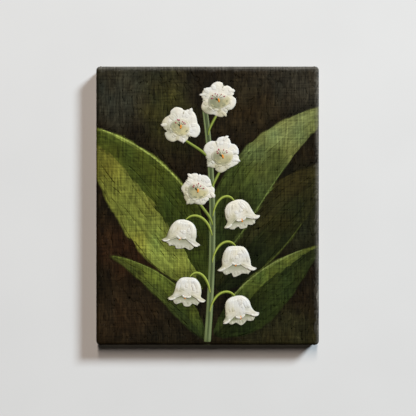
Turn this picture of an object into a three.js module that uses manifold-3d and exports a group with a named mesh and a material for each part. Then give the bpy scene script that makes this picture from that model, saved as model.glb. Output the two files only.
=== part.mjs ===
// A small gallery-wrapped painter's canvas: primed cloth stretched over four wooden stretcher bars,
// wedged at the corners, stapled behind, and hung from a sawtooth hanger.
//
// Millimetres, +Z up. The picture faces -Y and its back is towards the wall, which is the plane Y = 0.
// The origin is the hanging point: where the sawtooth hanger's middle notch rests on the wall's nail.
import * as THREE from "three";
import { mergeVertices } from "three/addons/utils/BufferGeometryUtils.js";
import Module from "manifold-3d";

const wasm = await Module();
wasm.setup();

// ---- Driving dimensions ----
const PICTURE_WIDTH = 203.2; // 8 in
const PICTURE_HEIGHT = 254.0; // 10 in
const PICTURE_DEPTH = 19.05; // 3/4 in, from the cloth's front to the back of its turned-over margin
const HANG_DROP = 32.0; // the hanging point's depth below the picture's top edge
const FIT = 0.2; // clearance between pieces that touch

const CLOTH = {
  thickness: 0.7, // cotton duck with its primer
  frontRadius: 3.2, // where it turns over the bars' front edge
  backRadius: 1.6,
  planRadius: 3.4, // the picture's corners, seen from the front
  leastPlanRadius: 0.4, // the corners' radius where the margin has been turned over
  margin: 20.0, // width of the margin that is turned over behind
};

const BUMPER = { radius: 5.0, edgeRadius: 0.8, thickness: 3.0, fromSide: 48.0, fromBottom: 29.0 };

const BAR = {
  width: 38.0,
  depth: PICTURE_DEPTH - 2 * CLOTH.thickness - 2 * FIT,
  beadWidth: 5.2, // the raised lip that carries the cloth
  beadDrop: 2.4, // how far the face behind the lip lies below it
  innerDepth: 12.6, // the bar's thickness at its inner edge
  backRadius: 1.0,
  inset: CLOTH.thickness + FIT, // from the picture's outline to the bar's outer edge
};

// The corner joint, in layers from the bar's back: mitred skin, the level bars' tongue,
// the upright bars' tongue, and the mitred front skin.
const JOINT = { backSkin: 3.6, tongue: 3.4 };

const KEY = { length: 32.0, inside: 22.0, thinEnd: 0.8, thickEnd: 6.2 };

const STAPLE = { crown: 10.0, leg: 6.0, wireWidth: 1.1, wireThickness: 0.6, bend: 0.5, fromEdge: 10.0 };

const HANGER = {
  length: 46.0,
  height: 11.0,
  thickness: 0.8,
  standOff: 2.0, // the toothed strip's height above the plate's two feet
  footLength: 9.0,
  rampLength: 3.0,
  toothDepth: 1.6,
  notches: 9,
  notchShare: 0.9, // a notch's mouth, as a share of the pitch
};

const NAIL = {
  shankRadius: 0.7,
  shankLength: 9.5,
  tipRadius: 0.3,
  tipLength: 2.0,
  headRadius: 1.7,
  shoulderRadius: 1.6, // the head's shoulder and its flat top
  topRadius: 1.0,
  shoulderHeight: 0.42,
  headThickness: 0.7,
  holeRadius: 0.95,
};

// ---- Levels and places worked out from them ----
const WALL_Y = 0;
const BAR_BACK_Y = WALL_Y - BUMPER.thickness - FIT;
const CLOTH_BACK_Y = BAR_BACK_Y + FIT + CLOTH.thickness;
const TOP_Z = HANG_DROP;
const BOTTOM_Z = TOP_Z - PICTURE_HEIGHT;
const CENTRE_Z = (TOP_Z + BOTTOM_Z) / 2;
const NOTCH_BELOW_TOP = HANGER.height - HANGER.toothDepth;
const TONGUE_LEVEL = [JOINT.backSkin, JOINT.backSkin + JOINT.tongue];
const TONGUE_UPRIGHT = [TONGUE_LEVEL[1], TONGUE_LEVEL[1] + JOINT.tongue];
const CUT = 1.0; // how far a cutter runs past what it cuts
const ARC_STEPS = 6; // flats to a quarter turn on the cloth's rounded edges
const ROUND_STEPS = 20; // flats to a full turn on the nails and their holes

// ---- Materials ----
const material = (color, roughness, metalness = 0) =>
  new THREE.MeshStandardMaterial({ color, roughness, metalness });
const PAINTED_CLOTH = material(0x2c2818, 0.75);
const PINE = material(0xd9b98a, 0.7);
const BEECH = material(0xe3c9a0, 0.65);
const STEEL = material(0xb8b8b4, 0.35, 1.0);
const BRASSED_STEEL = material(0xb59a5a, 0.35, 1.0);
const RUBBER = material(0x2b2a29, 0.9);

// ---- Solids ----
/** A closed geometry as a manifold-3d solid. */
function solidOf(geometry) {
  const bare = geometry.index ? geometry.toNonIndexed() : geometry.clone();
  bare.deleteAttribute("normal");
  bare.deleteAttribute("uv");
  const merged = mergeVertices(bare, 1e-4);
  return new wasm.Manifold(
    new wasm.Mesh({
      numProp: 3,
      vertProperties: new Float32Array(merged.attributes.position.array),
      triVerts: new Uint32Array(merged.index.array),
    }),
  );
}

/** A manifold-3d solid as a flat-shaded geometry. */
function geometryOf(solid) {
  const mesh = solid.getMesh();
  const places = new Float32Array(mesh.numVert * 3);
  for (let i = 0; i < mesh.numVert; i++) {
    places.set(mesh.vertProperties.subarray(i * mesh.numProp, i * mesh.numProp + 3), i * 3);
  }
  const geometry = new THREE.BufferGeometry();
  geometry.setAttribute("position", new THREE.BufferAttribute(places, 3));
  geometry.setIndex(new THREE.BufferAttribute(new Uint32Array(mesh.triVerts), 1));
  const flat = geometry.toNonIndexed();
  flat.computeVertexNormals();
  return flat;
}

/** Cuts each cutter geometry out of a geometry. */
function cutFrom(geometry, cutters) {
  return geometryOf(cutters.reduce((left, cutter) => left.subtract(solidOf(cutter)), solidOf(geometry)));
}

/** The part of a geometry that lies inside another. */
function keptInside(geometry, room) {
  return geometryOf(solidOf(geometry).intersect(solidOf(room)));
}

/** A closed outline through [x, y] points, extruded from z = low to z = high. */
function prism(points, low, high) {
  const shape = new THREE.Shape(points.map(([x, y]) => new THREE.Vector2(x, y)));
  const geometry = new THREE.ExtrudeGeometry(shape, { depth: high - low, bevelEnabled: false });
  return geometry.translate(0, 0, low);
}

/** A box of a size, about a centre. */
function box(size, centre) {
  return new THREE.BoxGeometry(...size).translate(...centre);
}

// ---- The cloth ----
/** The points of a rounded rectangle, inset from the picture's outline, in the X-Z plane at y. */
function clothRing(inset, y) {
  const radius = Math.max(CLOTH.planRadius - inset, CLOTH.leastPlanRadius);
  const halfWidth = PICTURE_WIDTH / 2 - inset - radius;
  const halfHeight = PICTURE_HEIGHT / 2 - inset - radius;
  const corners = [[1, 1], [-1, 1], [-1, -1], [1, -1]];
  return corners.flatMap(([sideX, sideZ], quarter) =>
    Array.from({ length: ARC_STEPS + 1 }, (_, i) => {
      const angle = (quarter + i / ARC_STEPS) * (Math.PI / 2);
      return [
        sideX * halfWidth + radius * Math.cos(angle),
        y,
        CENTRE_Z + sideZ * halfHeight + radius * Math.sin(angle),
      ];
    }),
  );
}

/** The cloth's section from the middle of the picture outwards and round to the back, as [inset, y]. */
function clothSkin(offset) {
  const frontY = CLOTH_BACK_Y - PICTURE_DEPTH + offset;
  const backY = CLOTH_BACK_Y - offset;
  const quarterTurn = (centreInset, centreY, radius, from) =>
    Array.from({ length: ARC_STEPS + 1 }, (_, i) => {
      const angle = from + (i / ARC_STEPS) * (Math.PI / 2);
      return [centreInset - radius * Math.sin(angle), centreY - radius * Math.cos(angle)];
    });
  const front = CLOTH.frontRadius;
  const back = CLOTH.backRadius;
  return [
    ...quarterTurn(front, frontY - offset + front, front - offset, 0),
    ...quarterTurn(back, backY + offset - back, back - offset, Math.PI / 2),
    [CLOTH.margin, backY],
  ];
}

/** Lofts rounded rectangles along a section, and closes its first and last ring over the picture's middle. */
function loftedRings(section) {
  const rings = section.map(([inset, y]) => clothRing(inset, y));
  const perRing = rings[0].length;
  const places = rings.flat(2);
  const triangles = [];
  for (let r = 0; r + 1 < rings.length; r++) {
    for (let i = 0; i < perRing; i++) {
      const j = (i + 1) % perRing;
      const [a, b, c, d] = [r * perRing + i, r * perRing + j, (r + 1) * perRing + j, (r + 1) * perRing + i];
      triangles.push(a, c, b, a, d, c);
    }
  }
  const closeWith = (ring, faceOrder) => {
    const middle = places.length / 3;
    places.push(0, section.at(ring)[1], CENTRE_Z);
    const first = ring === 0 ? 0 : (rings.length - 1) * perRing;
    for (let i = 0; i < perRing; i++) {
      triangles.push(middle, ...faceOrder(first + i, first + ((i + 1) % perRing)));
    }
  };
  closeWith(0, (a, b) => [a, b]);
  closeWith(-1, (a, b) => [b, a]);
  const geometry = new THREE.BufferGeometry();
  geometry.setAttribute("position", new THREE.Float32BufferAttribute(places, 3));
  geometry.setIndex(triangles);
  return geometry;
}

/** The cloth: its outer skin from the front round to the turned-over margin, then back inside. */
function clothGeometry() {
  return loftedRings([...clothSkin(0), ...clothSkin(CLOTH.thickness).reverse()]);
}

/** The room inside the cloth, which the bars' outer corners are rounded off to. */
function roomInsideCloth() {
  return loftedRings(clothSkin(CLOTH.thickness + FIT / 2));
}

// ---- Stretcher bars ----
/** A bar's section: u inwards from its outer edge, v forwards from its back. */
function barSection() {
  const front = CLOTH.frontRadius - BAR.inset;
  const shape = new THREE.Shape();
  shape.moveTo(BAR.backRadius, 0);
  shape.lineTo(BAR.width, 0);
  shape.lineTo(BAR.width, BAR.innerDepth);
  shape.lineTo(BAR.beadWidth + BAR.beadDrop, BAR.depth - BAR.beadDrop);
  shape.lineTo(BAR.beadWidth, BAR.depth);
  shape.lineTo(front, BAR.depth);
  shape.absarc(front, BAR.depth - front, front, Math.PI / 2, Math.PI, false);
  shape.lineTo(0, BAR.backRadius);
  shape.absarc(BAR.backRadius, BAR.backRadius, BAR.backRadius, Math.PI, 1.5 * Math.PI, false);
  return shape;
}

/** The cutters for one end of a bar, in the bar's frame: x along it, y inwards, z forwards. */
function endCutters(length, side, ownTongue, otherTongue) {
  const half = length / 2;
  const alongFromEnd = (points) => points.map(([e, y]) => [side * (half - e), y]);
  const wide = BAR.width + CUT;
  const mitre = alongFromEnd([[-CUT, -CUT], [-CUT + FIT, -CUT], [wide + FIT, wide], [-CUT, wide]]);
  const keyStart = BAR.width - KEY.inside - FIT;
  const shoulder = BAR.width + FIT;
  const slot = alongFromEnd([
    [-CUT, -CUT],
    [shoulder, -CUT],
    [shoulder, keyStart],
    [shoulder + KEY.thinEnd + FIT, keyStart],
    [shoulder + keyWidthAt(KEY.inside) + FIT, BAR.width],
    [shoulder + keyWidthAt(KEY.inside + CUT) + FIT, wide],
    [-CUT, wide],
  ]);
  const frontSkin = Math.max(ownTongue[1], otherTongue[1]);
  return [
    prism(mitre, -CUT, JOINT.backSkin + FIT / 2),
    prism(mitre, frontSkin - FIT / 2, BAR.depth + CUT),
    prism(slot, otherTongue[0] - FIT / 2, otherTongue[1] + FIT / 2),
  ];
}

/** A bar in its own frame: x along it from its middle, y inwards, z forwards from its back. */
function barGeometry(length, ownTongue, otherTongue) {
  const blank = new THREE.ExtrudeGeometry(barSection(), {
    depth: length,
    bevelEnabled: false,
    curveSegments: 4,
  });
  // The section's u, v and length become the bar's y, z and x.
  const axes = new THREE.Matrix4().set(0, 0, 1, -length / 2, 1, 0, 0, 0, 0, 1, 0, 0, 0, 0, 0, 1);
  blank.applyMatrix4(axes);
  return cutFrom(blank, [
    ...endCutters(length, 1, ownTongue, otherTongue),
    ...endCutters(length, -1, ownTongue, otherTongue),
  ]);
}

// ---- Corner keys ----
/** A key's width at a distance from its thin end. */
function keyWidthAt(distance) {
  return KEY.thinEnd + ((KEY.thickEnd - KEY.thinEnd) * distance) / KEY.length;
}

/** A key lying along a level bar's inner edge, its thin end in the upright bar's slot. */
function keyGeometry(tongue) {
  const start = BAR.width - KEY.inside;
  const low = BAR.width + FIT;
  const outline = [
    [start, low],
    [start + KEY.length, low],
    [start + KEY.length, low + keyWidthAt(KEY.length)],
    [start, low + keyWidthAt(0)],
  ];
  return prism(outline, tongue[0] + FIT, tongue[1] - FIT);
}

// ---- Staples ----
/** A staple with its legs along -z and its crown along x, the crown's underside at z = 0. */
function stapleGeometry() {
  const half = STAPLE.crown / 2;
  const wire = STAPLE.wireThickness;
  const bend = STAPLE.bend;
  const shape = new THREE.Shape();
  shape.moveTo(-half, -STAPLE.leg);
  shape.lineTo(-half + wire, -STAPLE.leg);
  shape.lineTo(-half + wire, 0);
  shape.lineTo(half - wire, 0);
  shape.lineTo(half - wire, -STAPLE.leg);
  shape.lineTo(half, -STAPLE.leg);
  shape.lineTo(half, wire - bend);
  shape.absarc(half - bend, wire - bend, bend, 0, Math.PI / 2, false);
  shape.lineTo(-half + bend, wire);
  shape.absarc(-half + bend, wire - bend, bend, Math.PI / 2, Math.PI, false);
  const geometry = new THREE.ExtrudeGeometry(shape, {
    depth: STAPLE.wireWidth,
    bevelEnabled: false,
    curveSegments: 3,
  });
  return geometry.translate(0, 0, -STAPLE.wireWidth / 2).rotateX(Math.PI / 2);
}

/** The two leg holes for a staple, in the staple's own frame, past the cloth and the leg's end. */
function stapleHoles() {
  const size = [STAPLE.wireThickness + 2 * FIT, STAPLE.wireWidth + 2 * FIT, STAPLE.leg + FIT + CUT];
  const offset = (STAPLE.crown - STAPLE.wireThickness) / 2;
  const centreZ = CUT - size[2] / 2;
  return [-offset, offset].map((x) => box(size, [x, 0, centreZ]));
}

// ---- Sawtooth hanger, its nails and the bumpers ----
/** The hanger: x along it, y up from its top edge, z away from the bar from its feet's underside. */
function hangerGeometry() {
  const half = HANGER.length / 2;
  const foot = half - HANGER.footLength;
  const strip = foot - HANGER.rampLength;
  const t = HANGER.thickness;
  const up = HANGER.standOff;
  // Seen edge-on: two feet on the bar, joined by a strip that stands off it.
  const edgeOn = [
    [-half, 0], [-foot, 0], [-strip, up], [strip, up], [foot, 0], [half, 0],
    [half, t], [foot + t / 2, t], [strip + t / 2, up + t],
    [-strip - t / 2, up + t], [-foot - t / 2, t], [-half, t],
  ];
  const plate = prism(edgeOn, 0, HANGER.height).rotateX(Math.PI / 2);
  const pitch = (2 * strip) / HANGER.notches;
  const mouth = HANGER.notchShare * pitch;
  const notches = Array.from({ length: HANGER.notches }, (_, i) => {
    const x = -strip + (i + 0.5) * pitch;
    const low = -HANGER.height;
    const outline = [
      [x - pitch / 2, low - CUT], [x + pitch / 2, low - CUT],
      [x + mouth / 2, low], [x, low + HANGER.toothDepth], [x - mouth / 2, low],
    ];
    return prism(outline, up - CUT, up + t + CUT);
  });
  const holes = nailPlaces().map(([x, y]) =>
    new THREE.CylinderGeometry(NAIL.holeRadius, NAIL.holeRadius, t + 2 * CUT, ROUND_STEPS)
      .rotateX(Math.PI / 2)
      .translate(x, y, t / 2),
  );
  return cutFrom(plate, [...notches, ...holes]);
}

/** The nails' places in the hanger's frame. */
function nailPlaces() {
  const x = (HANGER.length - HANGER.footLength) / 2;
  return [-x, x].map((side) => [side, -HANGER.height / 2]);
}

/** A nail pointing along -z, its head's underside at z = 0. */
function nailGeometry() {
  const profile = [
    [0, -NAIL.shankLength],
    [NAIL.tipRadius, -NAIL.shankLength + NAIL.tipRadius],
    [NAIL.shankRadius, -NAIL.shankLength + NAIL.tipLength],
    [NAIL.shankRadius, 0],
    [NAIL.headRadius, 0],
    [NAIL.shoulderRadius, NAIL.shoulderHeight],
    [NAIL.topRadius, NAIL.headThickness],
    [0, NAIL.headThickness],
  ].map(([r, z]) => new THREE.Vector2(r, z));
  return new THREE.LatheGeometry(profile, ROUND_STEPS).rotateX(Math.PI / 2);
}

/** A wall bumper: a round pad with an eased rim, its glued face at z = 0. */
function bumperGeometry() {
  const { radius, edgeRadius, thickness } = BUMPER;
  const rim = Array.from({ length: ARC_STEPS + 1 }, (_, i) => {
    const angle = (i / ARC_STEPS) * (Math.PI / 2);
    return new THREE.Vector2(
      radius - edgeRadius + edgeRadius * Math.cos(angle),
      thickness - edgeRadius + edgeRadius * Math.sin(angle),
    );
  });
  const gluedFace = [new THREE.Vector2(0, 0), new THREE.Vector2(radius, 0)];
  const profile = [...gluedFace, ...rim, new THREE.Vector2(0, thickness)];
  return new THREE.LatheGeometry(profile, 2 * ROUND_STEPS).rotateX(Math.PI / 2);
}

// ---- Places ----
const BAR_HALF_WIDTH = PICTURE_WIDTH / 2 - BAR.inset;
const BAR_HALF_HEIGHT = PICTURE_HEIGHT / 2 - BAR.inset;

const vector = (x, y, z) => new THREE.Vector3(x, y, z);
const FORWARDS = vector(0, -1, 0);

/** The frame of a bar: x along it, y inwards, z forwards from its back. */
function barFrame(along, outward) {
  const reach = outward.x ? BAR_HALF_WIDTH : BAR_HALF_HEIGHT;
  const frame = new THREE.Matrix4().makeBasis(along, outward.clone().negate(), FORWARDS);
  const middle = outward.clone().multiplyScalar(reach).add(vector(0, BAR_BACK_Y, CENTRE_Z));
  return frame.setPosition(middle);
}

const level = { length: 2 * BAR_HALF_WIDTH, own: TONGUE_LEVEL, other: TONGUE_UPRIGHT };
const upright = { length: 2 * BAR_HALF_HEIGHT, own: TONGUE_UPRIGHT, other: TONGUE_LEVEL };
const BARS = [
  { name: "top_bar", kind: level, frame: barFrame(vector(-1, 0, 0), vector(0, 0, 1)) },
  { name: "bottom_bar", kind: level, frame: barFrame(vector(1, 0, 0), vector(0, 0, -1)) },
  { name: "left_bar", kind: upright, frame: barFrame(vector(0, 0, -1), vector(-1, 0, 0)) },
  { name: "right_bar", kind: upright, frame: barFrame(vector(0, 0, 1), vector(1, 0, 0)) },
];

// Staples along a bar: places from its middle, with the small turn that hand stapling gives each.
const STAPLES_ALONG = [
  { share: -0.84, turn: 0.1 },
  { share: -0.42, turn: -0.06 },
  { share: 0.0, turn: 0.04 },
  { share: 0.42, turn: -0.09 },
  { share: 0.84, turn: 0.07 },
];
const UPRIGHT_SHARE = 0.76; // the upright bars' staples keep further from the corner joint

/** The frame of each staple on a bar, with its crown over the cloth's margin. */
function stapleFrames(bar) {
  const reach = (bar.kind.length / 2) * (bar.kind === upright ? UPRIGHT_SHARE : 1);
  const surface = -(2 * FIT + CLOTH.thickness);
  return STAPLES_ALONG.map(({ share, turn }) =>
    new THREE.Matrix4()
      .makeTranslation(share * reach, STAPLE.fromEdge - BAR.inset, surface)
      .multiply(new THREE.Matrix4().makeRotationZ(turn))
      .multiply(new THREE.Matrix4().makeRotationX(Math.PI))
      .premultiply(bar.frame),
  );
}

/** A named mesh placed by a matrix. */
function placed(name, geometry, finish, frame) {
  const mesh = new THREE.Mesh(geometry, finish);
  mesh.name = name;
  mesh.applyMatrix4(frame);
  return mesh;
}

/** Cutters given in a piece's frame, moved into another frame. */
function moved(cutters, from, into) {
  const change = into.clone().invert().multiply(from);
  return cutters.map((cutter) => cutter.clone().applyMatrix4(change));
}

// ---- Assembly ----
const picture = new THREE.Group();
const world = new THREE.Matrix4();
const clothCutters = [];

/** The frame of a piece on the bars' back: x to its right seen from behind, y up, z to the wall. */
function behindFrame(x, z) {
  return new THREE.Matrix4()
    .makeBasis(vector(-1, 0, 0), vector(0, 0, 1), vector(0, 1, 0))
    .setPosition(x, BAR_BACK_Y + FIT, z);
}

const hangerFrame = behindFrame(0, NOTCH_BELOW_TOP);
const nailFrames = nailPlaces().map(([x, y]) =>
  new THREE.Matrix4().makeTranslation(x, y, HANGER.thickness + FIT).premultiply(hangerFrame),
);
const nailHole = () =>
  new THREE.CylinderGeometry(NAIL.holeRadius, NAIL.holeRadius, NAIL.shankLength + FIT + CUT, ROUND_STEPS)
    .rotateX(Math.PI / 2)
    .translate(0, 0, (CUT - NAIL.shankLength - FIT) / 2);

for (const bar of BARS) {
  const holes = [];
  stapleFrames(bar).forEach((frame, i) => {
    picture.add(placed(`${bar.name}_staple_${i + 1}`, stapleGeometry(), STEEL, frame));
    holes.push(...moved(stapleHoles(), frame, bar.frame));
    clothCutters.push(...moved(stapleHoles(), frame, world));
  });
  if (bar.name === "top_bar") {
    nailFrames.forEach((frame) => holes.push(...moved([nailHole()], frame, bar.frame)));
  }
  const room = roomInsideCloth().applyMatrix4(bar.frame.clone().invert());
  const body = keptInside(barGeometry(bar.kind.length, bar.kind.own, bar.kind.other), room);
  picture.add(placed(bar.name, cutFrom(body, holes), PINE, bar.frame));
}

picture.add(placed("canvas", cutFrom(clothGeometry(), clothCutters), PAINTED_CLOTH, world));

// Two keys to a corner: one along the level bar, one along the upright bar in the next layer.
const CORNERS = [
  { name: "top_left", x: -1, z: 1 },
  { name: "top_right", x: 1, z: 1 },
  { name: "bottom_left", x: -1, z: -1 },
  { name: "bottom_right", x: 1, z: -1 },
];
for (const corner of CORNERS) {
  const outer = vector(corner.x * BAR_HALF_WIDTH, BAR_BACK_Y, CENTRE_Z + corner.z * BAR_HALF_HEIGHT);
  const inX = vector(-corner.x, 0, 0);
  const inZ = vector(0, 0, -corner.z);
  const along = new THREE.Matrix4().makeBasis(inX, inZ, FORWARDS).setPosition(outer);
  const across = new THREE.Matrix4().makeBasis(inZ, inX, FORWARDS).setPosition(outer);
  picture.add(placed(`${corner.name}_level_key`, keyGeometry(TONGUE_LEVEL), BEECH, along));
  picture.add(placed(`${corner.name}_upright_key`, keyGeometry(TONGUE_UPRIGHT), BEECH, across));
}

picture.add(placed("sawtooth_hanger", hangerGeometry(), BRASSED_STEEL, hangerFrame));
["left", "right"].forEach((side, i) => {
  picture.add(placed(`hanger_nail_${side}`, nailGeometry(), BRASSED_STEEL, nailFrames[1 - i]));
});

[["left", -1], ["right", 1]].forEach(([side, sign]) => {
  const frame = behindFrame(sign * (PICTURE_WIDTH / 2 - BUMPER.fromSide), BOTTOM_Z + BUMPER.fromBottom);
  picture.add(placed(`wall_bumper_${side}`, bumperGeometry(), RUBBER, frame));
});

export default picture;
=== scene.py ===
"""The looks of a small stretched canvas: an oil study of bell flowers, on cloth over a wooden frame.

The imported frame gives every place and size. The cloth, the paint on it and the folds at its corners
are made here as surfaces worked out on grids. The bars, keys, staples and hanger keep their own
shapes and get finishes. Lengths are millimetres unless a name says otherwise, in a frame with +Z up
and the picture facing -Y. On the picture u runs to the right and v upwards from the middle of its
face, and both are measured along the cloth, so they carry on round the edges.
"""

from __future__ import annotations

import logging
import math
from collections.abc import Callable
from dataclasses import dataclass, field
from enum import Enum

import bpy
import numpy as np
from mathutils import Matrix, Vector


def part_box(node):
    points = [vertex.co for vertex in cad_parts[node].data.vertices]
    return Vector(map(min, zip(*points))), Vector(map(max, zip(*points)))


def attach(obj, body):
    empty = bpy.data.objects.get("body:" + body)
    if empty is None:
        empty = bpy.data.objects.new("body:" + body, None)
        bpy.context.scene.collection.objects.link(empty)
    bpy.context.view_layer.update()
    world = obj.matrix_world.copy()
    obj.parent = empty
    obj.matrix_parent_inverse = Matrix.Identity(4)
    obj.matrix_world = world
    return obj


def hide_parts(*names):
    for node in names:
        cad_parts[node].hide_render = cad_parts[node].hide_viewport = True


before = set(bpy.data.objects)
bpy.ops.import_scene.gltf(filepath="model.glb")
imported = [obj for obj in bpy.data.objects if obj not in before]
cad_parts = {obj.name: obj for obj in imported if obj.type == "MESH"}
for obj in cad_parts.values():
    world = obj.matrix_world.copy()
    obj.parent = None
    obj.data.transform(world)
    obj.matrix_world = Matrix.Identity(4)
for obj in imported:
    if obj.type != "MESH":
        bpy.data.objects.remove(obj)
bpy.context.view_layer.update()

MM = 0.001
ROOT = "root"
CLOTH_SLOT = "painted_cloth"
Array = np.ndarray
Point = tuple[float, float]
log = logging.getLogger("canvas")


# ---- Numbers and colours ----


def linear(code: str) -> Array:
    """Turns an sRGB hex colour into linear red, green and blue.

    Args:
        code: a hash and six hex digits.

    Returns:
        Three numbers from 0 to 1.
    """
    encoded = np.array([int(code[i : i + 2], 16) for i in (1, 3, 5)]) / 255.0
    return np.where(encoded <= 0.04045, encoded / 12.92, ((encoded + 0.055) / 1.055) ** 2.4)


def rgba(code: str) -> tuple[float, ...]:
    """Gives an sRGB hex colour as a shader's four linear numbers."""
    return (*(float(part) for part in linear(code)), 1.0)


def ease(low: float, high: float, value: Array) -> Array:
    """Rises from 0 at low to 1 at high as 3 t^2 - 2 t^3."""
    t = np.clip((value - low) / (high - low), 0.0, 1.0)
    return t * t * (3.0 - 2.0 * t)


def mixed(first: Array, second: Array, share: Array | float) -> Array:
    """Blends one colour or row of colours into another by a share for each."""
    amount = np.asarray(share, float)[..., None]
    return first * (1.0 - amount) + second * amount


def ramp(tones: tuple[str, ...], t: Array) -> Array:
    """Blends evenly spaced tones along t from 0 to 1, in straight steps between neighbours."""
    stops = np.linspace(0.0, 1.0, len(tones))
    colours = np.array([linear(tone) for tone in tones])
    return np.stack([np.interp(t, stops, colours[:, part]) for part in range(3)], axis=-1)


def cloud(flat: Array, size: Point, seed: int) -> Array:
    """A smooth random field from -1 to 1: random numbers on a lattice, eased along both axes.

    Args:
        flat: points in u and v.
        size: the lattice's steps along u and v.
        seed: picks the numbers.

    Returns:
        One number for each point.
    """
    count = 64
    lattice = np.random.default_rng(seed).uniform(-1.0, 1.0, (count, count))
    a, b = flat[..., 0] / size[0] + count / 2, flat[..., 1] / size[1] + count / 2
    i, j = np.floor(a).astype(int), np.floor(b).astype(int)
    along, up = ease(0.0, 1.0, a - i), ease(0.0, 1.0, b - j)
    i0, i1, j0, j1 = i % count, (i + 1) % count, j % count, (j + 1) % count
    low = lattice[i0, j0] * (1.0 - along) + lattice[i1, j0] * along
    high = lattice[i0, j1] * (1.0 - along) + lattice[i1, j1] * along
    return low * (1.0 - up) + high * up


def bezier(controls: Array, t: Array) -> Array:
    """Points on cubic curves: the Bernstein blend of four control points.

    Args:
        controls: control points, shaped (..., 4, 2).
        t: places along the curves from 0 to 1.

    Returns:
        Points shaped (..., len(t), 2).
    """
    r = 1.0 - t
    weights = np.stack([r**3, 3 * r * r * t, 3 * r * t * t, t**3], axis=-1)
    return weights @ controls


def bezier_heading(controls: Array, t: Array) -> Array:
    """The unit directions of one cubic curve at places t, from the derivative of the blend."""
    r = (1.0 - t)[:, None]
    step = np.diff(controls, axis=0)
    way = r * r * step[0] + 2.0 * r * t[:, None] * step[1] + t[:, None] ** 2 * step[2]
    return way / np.maximum(np.linalg.norm(way, axis=-1, keepdims=True), 1e-9)


def closed_curve(points: Array, count: int) -> Array:
    """A smooth closed curve through points, by the Catmull-Rom blend of each four neighbours.

    Args:
        points: the points in order round the curve.
        count: how many points to give for each stretch between two neighbours.

    Returns:
        Points round the curve.
    """
    t = np.arange(count)[:, None] / count
    before, here, after, beyond = (np.roll(points, shift, axis=0)[:, None] for shift in (1, 0, -1, -2))
    slope = after - before
    bend = 2.0 * before - 5.0 * here + 4.0 * after - beyond
    twist = 3.0 * here - before - 3.0 * after + beyond
    return (here + 0.5 * (slope * t + bend * t * t + twist * t**3)).reshape(-1, 2)


def headings(path: Array) -> Array:
    """The unit direction at each point of paths shaped (..., points, 2)."""
    step = np.gradient(path, axis=-2)
    return step / np.maximum(np.linalg.norm(step, axis=-1, keepdims=True), 1e-9)


def left_of(direction: Array) -> Array:
    """Directions given a quarter turn to their left."""
    return np.stack([-direction[..., 1], direction[..., 0]], axis=-1)


def turned(local: Array, angle: float) -> Array:
    """Points turned anticlockwise about the origin by an angle in radians."""
    cosine, sine = math.cos(angle), math.sin(angle)
    return local @ np.array([[cosine, sine], [-sine, cosine]])


# ---- Meshes ----


def grid_triangles(rows: int, columns: int) -> Array:
    """Two triangles for each cell of a grid of points numbered row by row.

    Seen from outside, the rows run on to the right and the columns run up.
    """
    i, j = np.meshgrid(np.arange(rows - 1), np.arange(columns - 1), indexing="ij")
    a, b = i * columns + j, (i + 1) * columns + j
    return np.stack([np.stack([a, b, b + 1], -1), np.stack([a, b + 1, a + 1], -1)], -2).reshape(-1, 3)


def base_triangles(rows: int, lanes: int) -> Array:
    """Triangles that close a grid mound below, using only the points of its border."""
    i, j = np.arange(rows - 1), np.arange(1, lanes - 1)
    low, last, top = i * lanes, (rows - 1) * lanes, lanes - 1
    parts = (
        np.stack([low, low + lanes + top, low + lanes], -1),
        np.stack([low, low + top, low + lanes + top], -1),
        np.stack([0 * j, j, j + 1], -1),
        np.stack([last + 0 * j, last + j + 1, last + j], -1),
    )
    return np.concatenate(parts)


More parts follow.
